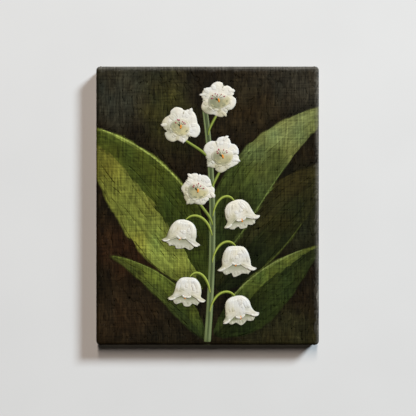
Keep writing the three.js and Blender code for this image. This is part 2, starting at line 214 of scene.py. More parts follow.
@dataclass
class Skin:
    """One piece's surface while it is gathered: points, triangles and what each point carries."""

    name: str
    points: list[Array] = field(default_factory=list)
    triangles: list[Array] = field(default_factory=list)
    undersides: list[Array] = field(default_factory=list)
    colours: list[Array] = field(default_factory=list)
    cloth: list[Array] = field(default_factory=list)
    brush: list[Array] = field(default_factory=list)
    covered: list[Array] = field(default_factory=list)
    count: int = 0

    def add(
        self,
        points: Array,
        triangles: Array,
        underside: Array,
        colour: Array,
        cloth: Array,
        brush: Array,
        covered: Array,
    ) -> None:
        """Adds a closed surface.

        Args:
            points: places, one row each.
            triangles: rows of three point numbers, anticlockwise seen from outside, shaded smooth.
            underside: more of them, out of sight, shaded flat so that they don't bend the rest's shading.
            colour: linear colours.
            cloth: places along the cloth, which the weave follows.
            brush: places across and along the stroke, which the bristles' furrows follow.
            covered: 1 where paint covers the cloth and 0 where it is raw.
        """
        self.points.append(points)
        self.triangles.append(triangles + self.count)
        self.undersides.append(underside + self.count)
        self.colours.append(colour)
        self.cloth.append(cloth)
        self.brush.append(brush)
        self.covered.append(covered)
        self.count += len(points)

    def build(self, finish: bpy.types.Material, slot: str, cap: Array | None = None) -> bpy.types.Object:
        """Makes the mesh object and puts it on the root body.

        Args:
            finish: its material.
            slot: the record's material slot; not used.
            cap: one more face, flat, as point numbers in order.

        Returns:
            The object.
        """
        smooth, flat = np.concatenate(self.triangles), np.concatenate(self.undersides)
        extra = [] if cap is None else [cap]
        corners = np.concatenate([smooth.ravel(), flat.ravel(), *extra]).astype(np.int32)
        sizes = np.array([3] * (len(smooth) + len(flat)) + [len(loop) for loop in extra], np.int32)
        mesh = bpy.data.meshes.new(self.name)
        mesh.vertices.add(self.count)
        mesh.vertices.foreach_set("co", (np.concatenate(self.points) * MM).astype(np.float32).ravel())
        mesh.loops.add(len(corners))
        mesh.loops.foreach_set("vertex_index", corners)
        mesh.polygons.add(len(sizes))
        mesh.polygons.foreach_set("loop_start", (np.cumsum(sizes) - sizes).astype(np.int32))
        mesh.polygons.foreach_set("use_smooth", np.arange(len(sizes)) < len(smooth))
        mesh.update(calc_edges=True)
        for name, pairs in (("cloth", self.cloth), ("brush", self.brush)):
            layer = mesh.uv_layers.new(name=name)
            layer.data.foreach_set("uv", (np.concatenate(pairs)[corners] * MM).astype(np.float32).ravel())
        colour = np.clip(np.concatenate(self.colours), 0.0, 1.0)
        full = np.concatenate([colour, np.ones((self.count, 1))], axis=1).astype(np.float32)
        mesh.color_attributes.new("paint", "FLOAT_COLOR", "POINT").data.foreach_set("color", full.ravel())
        mask = np.concatenate(self.covered).astype(np.float32)
        mesh.attributes.new("covered", "FLOAT", "POINT").data.foreach_set("value", mask)
        mesh.materials.append(finish)
        piece = bpy.data.objects.new(self.name, mesh)
        bpy.context.scene.collection.objects.link(piece)
        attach(piece, ROOT)
        log.info("%s: %d points, %d faces", self.name, self.count, len(sizes))
        return piece


# ---- Finishes ----


def node(
    tree: bpy.types.NodeTree, kind: str, inputs: dict | None = None, **settings: object
) -> bpy.types.Node:
    """Adds a shader node with its settings and links.

    Args:
        tree: the node tree.
        kind: the node's type.
        inputs: its inputs by name or number, each a plain value or the socket that feeds it.
        settings: the node's own settings.

    Returns:
        The new node.
    """
    made = tree.nodes.new(kind)
    for key, setting in settings.items():
        setattr(made, key, setting)
    for key, value in (inputs or {}).items():
        if isinstance(value, bpy.types.NodeSocket):
            tree.links.new(value, made.inputs[key])
        else:
            made.inputs[key].default_value = value
    return made


@dataclass(frozen=True)
class Finish:
    """What every finish has: a name, a roughness and how strongly its surface reflects."""

    name: str
    roughness: float = 0.5
    specular: float = 0.5
    metallic: float = 0.0

    def begun(self) -> tuple[bpy.types.Material, bpy.types.NodeTree, bpy.types.Node]:
        """Starts the material: one principled shader with this finish's plain values.

        Returns:
            The material, its node tree and the shader.
        """
        material = bpy.data.materials.new(self.name)
        material.use_nodes = True
        tree = material.node_tree
        tree.nodes.clear()
        values = {"Roughness": self.roughness, "Specular IOR Level": self.specular, "Metallic": self.metallic}
        shader = node(tree, "ShaderNodeBsdfPrincipled", values)
        node(tree, "ShaderNodeOutputMaterial", {"Surface": shader.outputs[0]})
        return material, tree, shader


@dataclass(frozen=True)
class Weave:
    """Cotton duck's plain weave as it shows through primer and paint.

    Its threads are 0.55 mm apart, too fine to show from where a picture is looked at. What shows is
    the slubs, the thicker stretches of thread, so those are drawn, 1.5 mm apart.
    """

    thread: float = 0.55
    ripple: float = 0.08
    slub: float = 1.5
    slub_length: float = 18.0
    level_share: float = 0.7
    lowest: float = 0.58
    highest: float = 1.12

    def height(self, tree: bpy.types.NodeTree, cloth: bpy.types.NodeSocket) -> bpy.types.NodeSocket:
        """The cloth's height, from about 0 to 1.

        Upright slubs, level slubs at their share of that strength, and a fine ripple that is the
        product of a sine across and a sine up, half a turn to a thread. The sum's usual range, from
        lowest to highest, is stretched to the whole.

        Args:
            tree: the node tree.
            cloth: coordinates along the cloth, in metres.

        Returns:
            The height.
        """
        fine, long = 1.0 / (self.slub * MM), 1.0 / (self.slub_length * MM)
        slubs = []
        for scale in ((fine, long, 1.0), (long, fine, 1.0)):
            spread = node(tree, "ShaderNodeMapping", {"Vector": cloth, "Scale": scale})
            grain = {"Vector": spread.outputs[0], "Scale": 1.0, "Detail": 2.0}
            slubs.append(node(tree, "ShaderNodeTexNoise", grain).outputs[0])
        turn = math.pi / (self.thread * MM)
        parts = node(tree, "ShaderNodeSeparateXYZ", {0: cloth})
        waves = []
        for axis in ("X", "Y"):
            angle = node(tree, "ShaderNodeMath", {0: parts.outputs[axis], 1: turn}, operation="MULTIPLY")
            waves.append(node(tree, "ShaderNodeMath", {0: angle.outputs[0]}, operation="SINE").outputs[0])
        ripple = node(tree, "ShaderNodeMath", {0: waves[0], 1: waves[1]}, operation="MULTIPLY")
        both = {0: slubs[1], 1: self.level_share, 2: slubs[0]}
        slubbed = node(tree, "ShaderNodeMath", both, operation="MULTIPLY_ADD")
        total = {0: ripple.outputs[0], 1: self.ripple, 2: slubbed.outputs[0]}
        height = node(tree, "ShaderNodeMath", total, operation="MULTIPLY_ADD")
        whole = {"Value": height.outputs[0], "From Min": self.lowest, "From Max": self.highest}
        return node(tree, "ShaderNodeMapRange", whole).outputs[0]


@dataclass(frozen=True)
class OilPaint(Finish):
    """Oil paint brushed out and dried matt.

    The cloth's slubs break it into fine upright streaks, and the bristles leave furrows along each
    stroke that catch the light.
    """

    weave_depth: float = 0.12
    streak: float = 0.58
    furrow_depth: float = 0.05
    furrow: float = 0.7
    furrow_length: float = 15.0

    def build(self) -> bpy.types.Material:
        """Makes the material."""
        material, tree, shader = self.begun()
        paint = node(tree, "ShaderNodeAttribute", attribute_name="paint")
        cloth = node(tree, "ShaderNodeUVMap", uv_map="cloth")
        brush = node(tree, "ShaderNodeUVMap", uv_map="brush")
        weave = Weave().height(tree, cloth.outputs[0])
        scale = (1.0 / (self.furrow * MM), 1.0 / (self.furrow_length * MM), 1.0)
        spread = node(tree, "ShaderNodeMapping", {"Vector": brush.outputs[0], "Scale": scale})
        grain = {"Vector": spread.outputs[0], "Scale": 1.0, "Detail": 1.0}
        furrows = node(tree, "ShaderNodeTexNoise", grain)
        tone = {"Value": weave, "To Min": 1.0 - self.streak, "To Max": 1.0 + self.streak}
        streaks = node(tree, "ShaderNodeMapRange", tone)
        colour = {0: paint.outputs["Color"], "Scale": streaks.outputs[0]}
        streaked = node(tree, "ShaderNodeVectorMath", colour, operation="SCALE")
        low = {"Strength": 0.6, "Distance": self.weave_depth * MM, "Height": weave}
        woven = node(tree, "ShaderNodeBump", low)
        high = {"Strength": 0.7, "Distance": self.furrow_depth * MM, "Height": furrows.outputs[0]}
        brushed = node(tree, "ShaderNodeBump", {**high, "Normal": woven.outputs[0]})
        tree.links.new(streaked.outputs[0], shader.inputs["Base Color"])
        tree.links.new(brushed.outputs[0], shader.inputs["Normal"])
        return material


@dataclass(frozen=True)
class CottonDuck(Finish):
    """Cotton duck, primed and painted in front and left raw behind.

    In front it takes the thinned paint's colour. Behind it is unbleached cotton, warm and pale, with
    a clear weave and darker slubs.
    """

    raw: str = "#d3c7ab"
    raw_dark: str = "#ab9c7e"
    weave_depth: float = 0.30
    streak: float = 0.54

    def build(self) -> bpy.types.Material:
        """Makes the material."""
        material, tree, shader = self.begun()
        paint = node(tree, "ShaderNodeAttribute", attribute_name="paint")
        covered = node(tree, "ShaderNodeAttribute", attribute_name="covered")
        cloth = node(tree, "ShaderNodeUVMap", uv_map="cloth")
        weave = Weave().height(tree, cloth.outputs[0])
        tone = {"Value": weave, "To Min": 1.0 - self.streak, "To Max": 1.0 + self.streak}
        streaks = node(tree, "ShaderNodeMapRange", tone)
        colour = {0: paint.outputs["Color"], "Scale": streaks.outputs[0]}
        painted = node(tree, "ShaderNodeVectorMath", colour, operation="SCALE")
        tones = {0: weave, 6: rgba(self.raw_dark), 7: rgba(self.raw)}
        raw = node(tree, "ShaderNodeMix", tones, data_type="RGBA")
        sides = {0: covered.outputs["Fac"], 6: raw.outputs[2], 7: painted.outputs[0]}
        whole = node(tree, "ShaderNodeMix", sides, data_type="RGBA")
        bump = {"Strength": 0.7, "Distance": self.weave_depth * MM, "Height": weave}
        woven = node(tree, "ShaderNodeBump", bump)
        tree.links.new(whole.outputs[2], shader.inputs["Base Color"])
        tree.links.new(woven.outputs[0], shader.inputs["Normal"])
        return material


class Grain(Enum):
    """Which way a board's grain runs."""

    ACROSS = "along X"
    UPRIGHT = "along Z"


@dataclass(frozen=True)
class Timber(Finish):
    """Planed, unfinished softwood or beech.

    Darker late wood runs along the board in uneven lines 2 to 4 mm apart, over a slow change of tone,
    with short pores on top, and the planed face is almost matt.
    """

    pale: str = "#dcbb86"
    dark: str = "#b98a52"
    ring: float = 3.0
    ring_length: float = 160.0
    pore: float = 0.5
    pore_length: float = 9.0
    grain: Grain = Grain.ACROSS

    def scale(self, across: float, along: float) -> tuple[float, float, float]:
        """The Mapping scale for a pattern of these sizes across and along the grain."""
        wide, long = 1.0 / (across * MM), 1.0 / (along * MM)
        return (long, wide, wide) if self.grain is Grain.ACROSS else (wide, wide, long)

    def build(self) -> bpy.types.Material:
        """Makes the material."""
        material, tree, shader = self.begun()
        place = node(tree, "ShaderNodeTexCoord").outputs["Object"]
        layers = []
        for across, along, detail in (
            (self.ring, self.ring_length, 3.0),
            (self.pore, self.pore_length, 1.0),
            (self.ring * 8.0, self.ring_length, 1.0),
        ):
            spread = node(tree, "ShaderNodeMapping", {"Vector": place, "Scale": self.scale(across, along)})
            pattern = {"Vector": spread.outputs[0], "Scale": 1.0, "Detail": detail}
            layers.append(node(tree, "ShaderNodeTexNoise", pattern).outputs[0])
        rings, pores, slow = layers
        bands = node(tree, "ShaderNodeMapRange", {"Value": rings, "From Min": 0.36, "From Max": 0.62})
        tones = {0: bands.outputs[0], 6: rgba(self.dark), 7: rgba(self.pale)}
        wood = node(tree, "ShaderNodeMix", tones, data_type="RGBA")
        fine = {"Value": pores, "From Min": 0.3, "From Max": 0.6, "To Min": 0.86, "To Max": 1.03}
        broad = {"Value": slow, "From Min": 0.3, "From Max": 0.7, "To Min": 0.9, "To Max": 1.08}
        colour = wood.outputs[2]
        for values in (fine, broad):
            factor = node(tree, "ShaderNodeMapRange", values).outputs[0]
            shaded = node(tree, "ShaderNodeVectorMath", {0: colour, "Scale": factor}, operation="SCALE")
            colour = shaded.outputs[0]
        bump = node(tree, "ShaderNodeBump", {"Strength": 0.4, "Distance": 0.15 * MM, "Height": pores})
        tree.links.new(colour, shader.inputs["Base Color"])
        tree.links.new(bump.outputs[0], shader.inputs["Normal"])
        return material


@dataclass(frozen=True)
class Mottled(Finish):
    """A plain stuff whose tone drifts between two near colours, with a fine uneven surface.

    It serves the zinc on the staples, the brass plate on the hanger, moulded rubber and wall paint.
    """

    pale: str = "#808080"
    dark: str = "#606060"
    patch: float = 4.0
    rough_patch: float = 0.5
    depth: float = 0.03

    def build(self) -> bpy.types.Material:
        """Makes the material."""
        material, tree, shader = self.begun()
        place = node(tree, "ShaderNodeTexCoord").outputs["Object"]
        layers = []
        for size in (self.patch, self.rough_patch):
            pattern = {"Vector": place, "Scale": 1.0 / (size * MM), "Detail": 2.0}
            layers.append(node(tree, "ShaderNodeTexNoise", pattern).outputs[0])
        share = node(tree, "ShaderNodeMapRange", {"Value": layers[0], "From Min": 0.35, "From Max": 0.65})
        tones = {0: share.outputs[0], 6: rgba(self.dark), 7: rgba(self.pale)}
        colour = node(tree, "ShaderNodeMix", tones, data_type="RGBA")
        bump = {"Strength": 0.5, "Distance": self.depth * MM, "Height": layers[1]}
        uneven = node(tree, "ShaderNodeBump", bump)
        tree.links.new(colour.outputs[2], shader.inputs["Base Color"])
        tree.links.new(uneven.outputs[0], shader.inputs["Normal"])
        return material


THIN_OIL = OilPaint("brushed_oil_paint", roughness=0.62, specular=0.05)
THICK_OIL = OilPaint("impasto_oil_paint", 0.5, 0.12, weave_depth=0.08, streak=0.05)
DUCK = CottonDuck("painted_cotton_duck", roughness=0.7, specular=0.05)
PINE_ACROSS = Timber("planed_pine_across", roughness=0.62, specular=0.35, grain=Grain.ACROSS)
PINE_UPRIGHT = Timber("planed_pine_upright", roughness=0.62, specular=0.35, grain=Grain.UPRIGHT)
BEECH = Timber("sawn_beech", 0.65, 0.35, pale="#dcb98c", dark="#c49a68", ring=1.6, pore=0.4, pore_length=3.0)
ZINC = Mottled("galvanised_steel_wire", 0.38, metallic=1.0, pale="#cfd0cd", dark="#a5a7a6", patch=2.0)
BRASS = Mottled("brass_plated_steel", 0.32, metallic=1.0, pale="#d8bd7c", dark="#b89a58", patch=3.0)
RUBBER = Mottled("moulded_rubber", 0.7, 0.35, pale="#2c2c2d", dark="#222223", patch=2.5)
WALL_PAINT = Mottled("matt_wall_paint", 0.9, 0.1, pale="#dcdcdc", dark="#dadada", patch=90.0, depth=0.0)


# ---- The cloth's shape ----


@dataclass(frozen=True)
class Face:
    """The stretched cloth's outer surface, and where a place on the flat cloth lies on it."""

    half_u: float
    half_v: float
    centre_z: float
    front: float
    depth: float
    edge: float = 3.2
    hem: float = 1.6
    corner: float = 3.4
    cloth: float = 0.7
    margin: float = 20.0

    @classmethod
    def measured(cls) -> Face:
        """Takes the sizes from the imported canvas."""
        low, high = (np.array(end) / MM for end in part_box("canvas"))
        middle = (low[2] + high[2]) / 2.0
        return cls(high[0], (high[2] - low[2]) / 2.0, middle, low[1], high[1] - low[1])

    @property
    def side(self) -> float:
        """The straight part of a side, from front edge to back edge."""
        return self.depth - self.edge - self.hem

    @property
    def round_front(self) -> float:
        """The length of cloth round the front edge."""
        return self.edge * math.pi / 2.0

    def wrapped(self, s: Array, half: float) -> tuple[Array, Array, Array, Array]:
        """Bends one flat coordinate round the edges.

        Flat to the edge, a quarter turn, straight down the side, a quarter turn, and back in.

        Args:
            s: the flat coordinate.
            half: half the picture's size along it.

        Returns:
            The offset from the middle, the depth behind the front, and the surface normal's outward
            and forward parts.
        """
        beyond = np.maximum(np.abs(s) - (half - self.edge), 0.0)
        first = np.minimum(beyond / self.edge, math.pi / 2.0)
        beyond = np.maximum(beyond - self.round_front, 0.0)
        down = np.minimum(beyond, self.side)
        beyond = beyond - down
        second = np.minimum(beyond / self.hem, math.pi / 2.0)
        inwards = np.maximum(beyond - self.hem * math.pi / 2.0, 0.0)
        reach = np.minimum(np.abs(s), half - self.edge) + self.edge * np.sin(first)
        offset = reach - self.hem * (1.0 - np.cos(second)) - inwards
        depth = self.edge * (1.0 - np.cos(first)) + down + self.hem * np.sin(second)
        outward = np.sign(s) * np.sin(first) * np.cos(second)
        return np.sign(s) * offset, depth, outward, np.cos(first) - np.sin(second)

    def place(self, flat: Array, lift: Array) -> Array:
        """Puts points of the flat cloth on the stretched one.

        Args:
            flat: points in u and v.
            lift: how far each stands off the surface.

        Returns:
            Points in the frame.
        """
        x, depth_u, side_u, ahead_u = self.wrapped(flat[..., 0], self.half_u)
        z, depth_v, side_v, ahead_v = self.wrapped(flat[..., 1], self.half_v)
        normal = np.stack([side_u, -ahead_u * ahead_v, side_v], axis=-1)
        normal /= np.maximum(np.linalg.norm(normal, axis=-1, keepdims=True), 1e-6)
        point = np.stack([x, self.front + depth_u + depth_v, self.centre_z + z], axis=-1)
        return point + normal * lift[..., None]

    def takes(self, flat: Array, reach: float = 6.0) -> Array:
        """Whether paint can go there: on the front or up to reach past its edges, off the corners."""
        over_u = np.abs(flat[..., 0]) - (self.half_u - self.edge)
        over_v = np.abs(flat[..., 1]) - (self.half_v - self.edge)
        return (np.maximum(over_u, over_v) < reach) & (np.minimum(over_u, over_v) < -1.0)


# ---- The picture's plan ----


@dataclass(frozen=True)
class Leaf:
    """A leaf on the picture: a spine, two halves of their own widths and tones, and a lit rim."""

    name: str
    spine: tuple[Point, Point, Point, Point]
    widths: Point
    left_tones: tuple[str, ...]
    right_tones: tuple[str, ...]
    rim: str = "#8a9648"
    rim_on_left: bool = False
    rim_span: Point = (0.2, 0.9)
    rim_width: float = 1.6
    fullness: float = 0.8
    softness: float = 2.0
    strokes: int = 200
    seed: int = 1

    def width(self, t: Array, on_left: Array) -> Array:
        """The half width at t along the spine: a sine of a slightly bent t, raised to the fullness."""
        most = np.where(on_left, self.widths[0], self.widths[1])
        return most * np.maximum(np.sin(math.pi * np.clip(t, 0.0, 1.0) ** 0.85), 0.0) ** self.fullness

    def spot(self, t: Array, share: Array) -> Array:
        """The points a share of the half width from the spine, above 0 on its left."""
        spine = np.array(self.spine, float)
        aside = left_of(bezier_heading(spine, t))
        return bezier(spine, t) + aside * (share * self.width(t, share > 0))[..., None]

    def locate(self, flat: Array) -> tuple[Array, Array]:
        """Finds the nearest place on the spine.

        Args:
            flat: points in u and v.

        Returns:
            The place along the spine from 0 to 1, and the distance off it, above 0 on its left.
        """
        t = np.linspace(0.0, 1.0, 120)
        spine = np.array(self.spine, float)
        line = bezier(spine, t)
        aside = left_of(bezier_heading(spine, t))
        gap = flat[:, None, :] - line[None, :, :]
        nearest = np.argmin((gap**2).sum(-1), axis=1)
        rows = np.arange(len(flat))
        offset = gap[rows, nearest]
        near_side = (offset * aside[nearest]).sum(-1)
        distance = np.sqrt((offset**2).sum(-1))
        return t[nearest], np.where(near_side > 0, distance, -distance)

    def over(self, colour: Array, flat: Array) -> tuple[Array, Array]:
        """Paints the leaf over a colour.

        The tone runs along each half and drifts with long thin veins, the midrib is darker, the rim
        is a thin light band, and a soft shade lies on what is just outside.

        Args:
            colour: what is there already.
            flat: points in u and v.

        Returns:
            The new colour and how far the leaf covers each point.
        """
        t, aside = self.locate(flat)
        on_left = aside > 0
        width = self.width(t, on_left)
        inside = width - np.abs(aside)
        wander = 0.9 * cloud(flat, (7.0, 7.0), self.seed + 40)
        cover = ease(-self.softness / 2, self.softness / 2, inside + wander)
        shade = 1.0 - 0.30 * ease(-9.0, 0.0, inside) * (width > 0.5)
        run = t + 0.10 * cloud(flat, (16.0, 16.0), self.seed)
        tone = np.where(on_left[:, None], ramp(self.left_tones, run), ramp(self.right_tones, run))
        veins = cloud(np.stack([aside, t * 90.0], axis=-1), (2.2, 30.0), self.seed + 7)
        patches = cloud(flat, (9.0, 12.0), self.seed + 13)
        warm = 0.13 * cloud(flat, (12.0, 16.0), self.seed + 21)[:, None] * np.array([1.0, 0.1, -0.9])
        tone = tone * (1.0 + warm + (0.14 * veins + 0.22 * patches)[:, None])
        rib = 0.20 * (1.0 - ease(0.0, 2.4, np.abs(aside)))
        tone = tone * (1.0 - rib)[:, None]
        low, high = self.rim_span
        span = ease(low - 0.08, low + 0.08, t) * (1.0 - ease(high - 0.08, high + 0.04, t))
        band = 1.0 - ease(0.5 * self.rim_width, 1.5 * self.rim_width, inside)
        lit = band * span * (on_left == self.rim_on_left)
        tone = mixed(tone, linear(self.rim), 0.85 * lit)
        return mixed(colour * shade[:, None], tone, cover), cover


@dataclass(frozen=True)
class Patch:
    """A soft-edged area of one tone on the ground: an ellipse turned by an angle."""

    tone: str
    at: Point
    size: Point
    angle: float = 0.0
    strength: float = 0.9

    def share(self, flat: Array) -> Array:
        """How far the patch covers each point: a bell curve of the distance over the size."""
        local = turned(flat - np.array(self.at), -self.angle) / np.array(self.size)
        return self.strength * np.exp(-((local**2).sum(-1) ** 1.3))


@dataclass(frozen=True)
class Plan:
    """The picture's tones: a dark ground with soft patches, leaves over it, and dark round the bells.

    A thin warm glaze lies over it all. On the top and right edges, which catch the light, a painted
    highlight lifts the paint unevenly towards a pale grey.
    """

    face: Face
    glaze: str
    ground: str
    patches: tuple[Patch, ...]
    leaves: tuple[Leaf, ...]
    bells: tuple[Point, ...]
    # the pale grey of the painted highlight on the top and right edges
    edge_highlight_grey: str = "#706d66"

    def ground_at(self, flat: Array) -> Array:
        """The ground's colour: the patches in turn, then slow drifts and upright brush marks."""
        colour = np.broadcast_to(linear(self.ground), (*flat.shape[:-1], 3)).copy()
        wander = np.stack([cloud(flat, (14.0, 14.0), 3), cloud(flat, (14.0, 14.0), 4)], axis=-1)
        for patch in self.patches:
            colour = mixed(colour, linear(patch.tone), patch.share(flat + 6.0 * wander))
        drift = 0.26 * cloud(flat, (10.0, 18.0), 5) + 0.22 * cloud(flat, (2.4, 7.0), 6)
        warm = 0.10 * cloud(flat, (8.0, 12.0), 8)[..., None] * np.array([1.0, 0.1, -0.8])
        return colour * (1.0 + drift[..., None] + warm)

    def colour(self, flat: Array) -> Array:
        """The whole plan's colour at points in rows of u and v."""
        return self.laid(flat)[0]

    def laid(self, flat: Array) -> tuple[Array, Array]:
        """The colour and, for each point, how far leaves cover it."""
        colour = self.ground_at(flat)
        covered = np.zeros(len(flat))
        for leaf in self.leaves:
            colour, cover = leaf.over(colour, flat)
            covered = np.maximum(covered, cover)
        for centre in self.bells:
            distance = np.linalg.norm(flat - np.array(centre), axis=-1)
            colour = colour * (1.0 - 0.40 * (1.0 - ease(13.0, 25.0, distance)))[:, None]
        return self.lit_edges(colour * linear(self.glaze), flat), covered

    def lit_edges(self, colour: Array, flat: Array) -> Array:
        """Paints a highlight along the top and right edges, which catch the light, unevenly."""
        over = flat - np.array([self.face.half_u, self.face.half_v]) + self.face.edge
        patchy = 1.0 + 0.25 * cloud(flat, (7.0, 7.0), 61)
        # painted highlight: the top and right edges, where the light falls, are lightened towards pale grey
        # in uneven patches
        for distance, strength in ((over[:, 1], 0.72), (over[:, 0], 0.60)):
            edge_highlight = ease(-1.6, 3.4, distance) * (1.0 - 0.9 * ease(4.0, 8.0, distance))
            colour = mixed(colour, linear(self.edge_highlight_grey), np.clip(strength * patchy * edge_highlight, 0.0, 1.0))
        return colour


# ---- Brushwork ----

SUNK = 0.05


@dataclass
class Brushwork:
    """Paint put on for one piece: strokes and dabs, each a closed low mound on the cloth.

    The base is how far the piece's paint stands above the cloth to begin with, on what lies under it.
    The border of thick paint is sunk into the cloth by SUNK.
    """

    name: str
    face: Face
    seed: int
    base: float = 0.0
    skin: Skin = field(init=False)
    random: np.random.Generator = field(init=False)

    def __post_init__(self) -> None:
        """Starts the skin and the seeded numbers."""
        self.skin = Skin(self.name)
        self.random = np.random.default_rng(self.seed)

    def strokes(
        self,
        controls: Array,
        half: Array | float,
        colour: Array,
        lift: Array | float = 0.05,
        thick: float = 0.12,
        rows: int = 8,
        lanes: int = 6,
        ragged: float = 0.9,
        jitter: float = 0.07,
        sink: float = SUNK,
        shape: Array | None = None,
    ) -> None:
        """Adds brush strokes.

        A stroke is a grid: rows follow its cubic path and lanes lie across it. Its width is fullest in
        the middle, as 0.25 + 0.75 (1 - |2t - 1|^3). Lanes stand at slightly different heights and tones,
        as bristles leave them, and the border is sunk into the cloth, where a flat base closes it.

        Args:
            controls: four control points for each stroke.
            half: half widths.
            colour: one colour for all, one each, or one for each stroke and row.
            lift: how far each lies above the cloth.
            thick: how far the middle rises above that.
            rows: points along a stroke.
            lanes: points across it.
            ragged: how far a lane may run on past the stroke's ends.
            jitter: how much the lanes' tones differ.
            sink: how deep the border is sunk.
            shape: the width along the stroke, in place of the formula.
        """
        count = len(controls)
        t = np.linspace(0.0, 1.0, rows)
        path = bezier(np.asarray(controls, float), t)
        heading = headings(path)
        lane = np.linspace(-1.0, 1.0, lanes)
        taper = 1.0 - 0.75 * np.abs(2.0 * t - 1.0) ** 3 if shape is None else shape
        width = np.broadcast_to(np.asarray(half, float), (count,))[:, None] * taper
        across = width[:, :, None] * lane
        flat = path[:, :, None, :] + left_of(heading)[:, :, None, :] * across[..., None]
        run = self.random.uniform(0.0, ragged, (count, 2, lanes))
        flat[:, 0] -= heading[:, 0, None, :] * run[:, 0, :, None]
        flat[:, -1] += heading[:, -1, None, :] * run[:, 1, :, None]
        bristle = self.random.uniform(0.55, 1.0, (count, 1, lanes)) * (1.0 - 0.25 * lane**2)
        rise = self.base + np.broadcast_to(np.asarray(lift, float), (count,))[:, None, None] + thick * bristle
        rise = rise * np.ones((1, rows, 1))
        rise[:, :, [0, -1]] = -sink
        rise[:, [0, -1], :] = -sink
        tones = np.asarray(colour, float)
        tones = tones.reshape((1,) * (3 - tones.ndim) + tones.shape) if tones.ndim != 2 else tones[:, None, :]
        tones = np.broadcast_to(tones, (count, rows, 3))[:, :, None, :]
        tones = tones * (1.0 + self.random.uniform(-jitter, jitter, (count, 1, lanes, 1)))
        gone = np.cumsum(np.linalg.norm(np.diff(path, axis=1), axis=-1), axis=1)
        length = np.concatenate([np.zeros((count, 1)), gone], axis=1)
        start = self.random.uniform(0.0, 500.0, (count, 1, 1))
        brush = np.stack([across + start, np.broadcast_to(length[:, :, None], across.shape)], axis=-1)
        each = np.arange(count)[:, None, None] * rows * lanes
        triangles = (each + grid_triangles(rows, lanes)).reshape(-1, 3)
        base = (each + base_triangles(rows, lanes)).reshape(-1, 3)
        flat = flat.reshape(-1, 2)
        points = self.face.place(flat, rise.ravel())
        whole = np.ones(len(flat))
        self.skin.add(points, triangles, base, tones.reshape(-1, 3), flat, brush.reshape(-1, 2), whole)

    def dab(
        self, centre: Array, edge: Array, colour: Callable[[Array], Array], lift: float, thick: float
    ) -> None:
        """Adds one broad dab: rings shrink from its edge to its centre over a dome, 1 - r^4.

        Args:
            centre: its middle.
            edge: points round its edge, anticlockwise.
            colour: gives the colour at points in u and v.
            lift: how far its border stands above the cloth.
            thick: how far its middle rises above that.
        """
        shares = np.array([1.0, 0.96, 0.88, 0.74, 0.56, 0.36, 0.16])
        around = len(edge)
        rings = centre + (edge - centre)[None, :, :] * shares[:, None, None]
        flat = np.concatenate([rings.reshape(-1, 2), centre[None, :], centre[None, :]])
        bumps = 0.25 * thick * cloud(flat, (1.6, 1.6), self.seed)
        out = np.append(np.repeat(shares, around), [0.0, 0.0])
        height = self.base + lift + thick * (1.0 - out**4) + bumps
        height[:around] = -SUNK
        height[-1] = -SUNK
        k = np.arange(around)
        after = (k + 1) % around
        strips = []
        for ring in range(len(shares) - 1):
            outer, inner = ring * around, (ring + 1) * around
            strips.append(np.stack([outer + k, outer + after, inner + after], -1))
            strips.append(np.stack([outer + k, inner + after, inner + k], -1))
        inner, top = (len(shares) - 1) * around, len(shares) * around
        strips.append(np.stack([inner + k, inner + after, top + 0 * k], -1))
        base = np.stack([after, k, top + 1 + 0 * k], -1)
        points = self.face.place(flat, height)
        self.skin.add(points, np.concatenate(strips), base, colour(flat), flat, flat, np.ones(len(flat)))

    def build(self, finish: bpy.types.Material) -> bpy.types.Object:
        """Makes the piece."""
        return self.skin.build(finish, CLOTH_SLOT)


# ---- The bells ----


class Pose(Enum):
    """How a bell hangs."""

    OPEN = "its mouth towards the viewer"
    NODDING = "its mouth down"


WHITE, CREAM, SHADE, GREY = (linear(code) for code in ("#dad7cd", "#c9c6b6", "#adaa94", "#929377"))
THROAT, THROAT_SHADE, MOUTH = linear("#c2b98c"), linear("#848569"), linear("#757957")
PISTIL, STAMEN, STAMEN_BROWN = linear("#de8f38"), linear("#a83260"), linear("#8a5a3c")
LEAF_DARK = linear("#3e4a2a")
PETAL_TONES = ("#dcd9cf", "#d2cebf", "#c1bda6", "#a5a288", "#84856a")


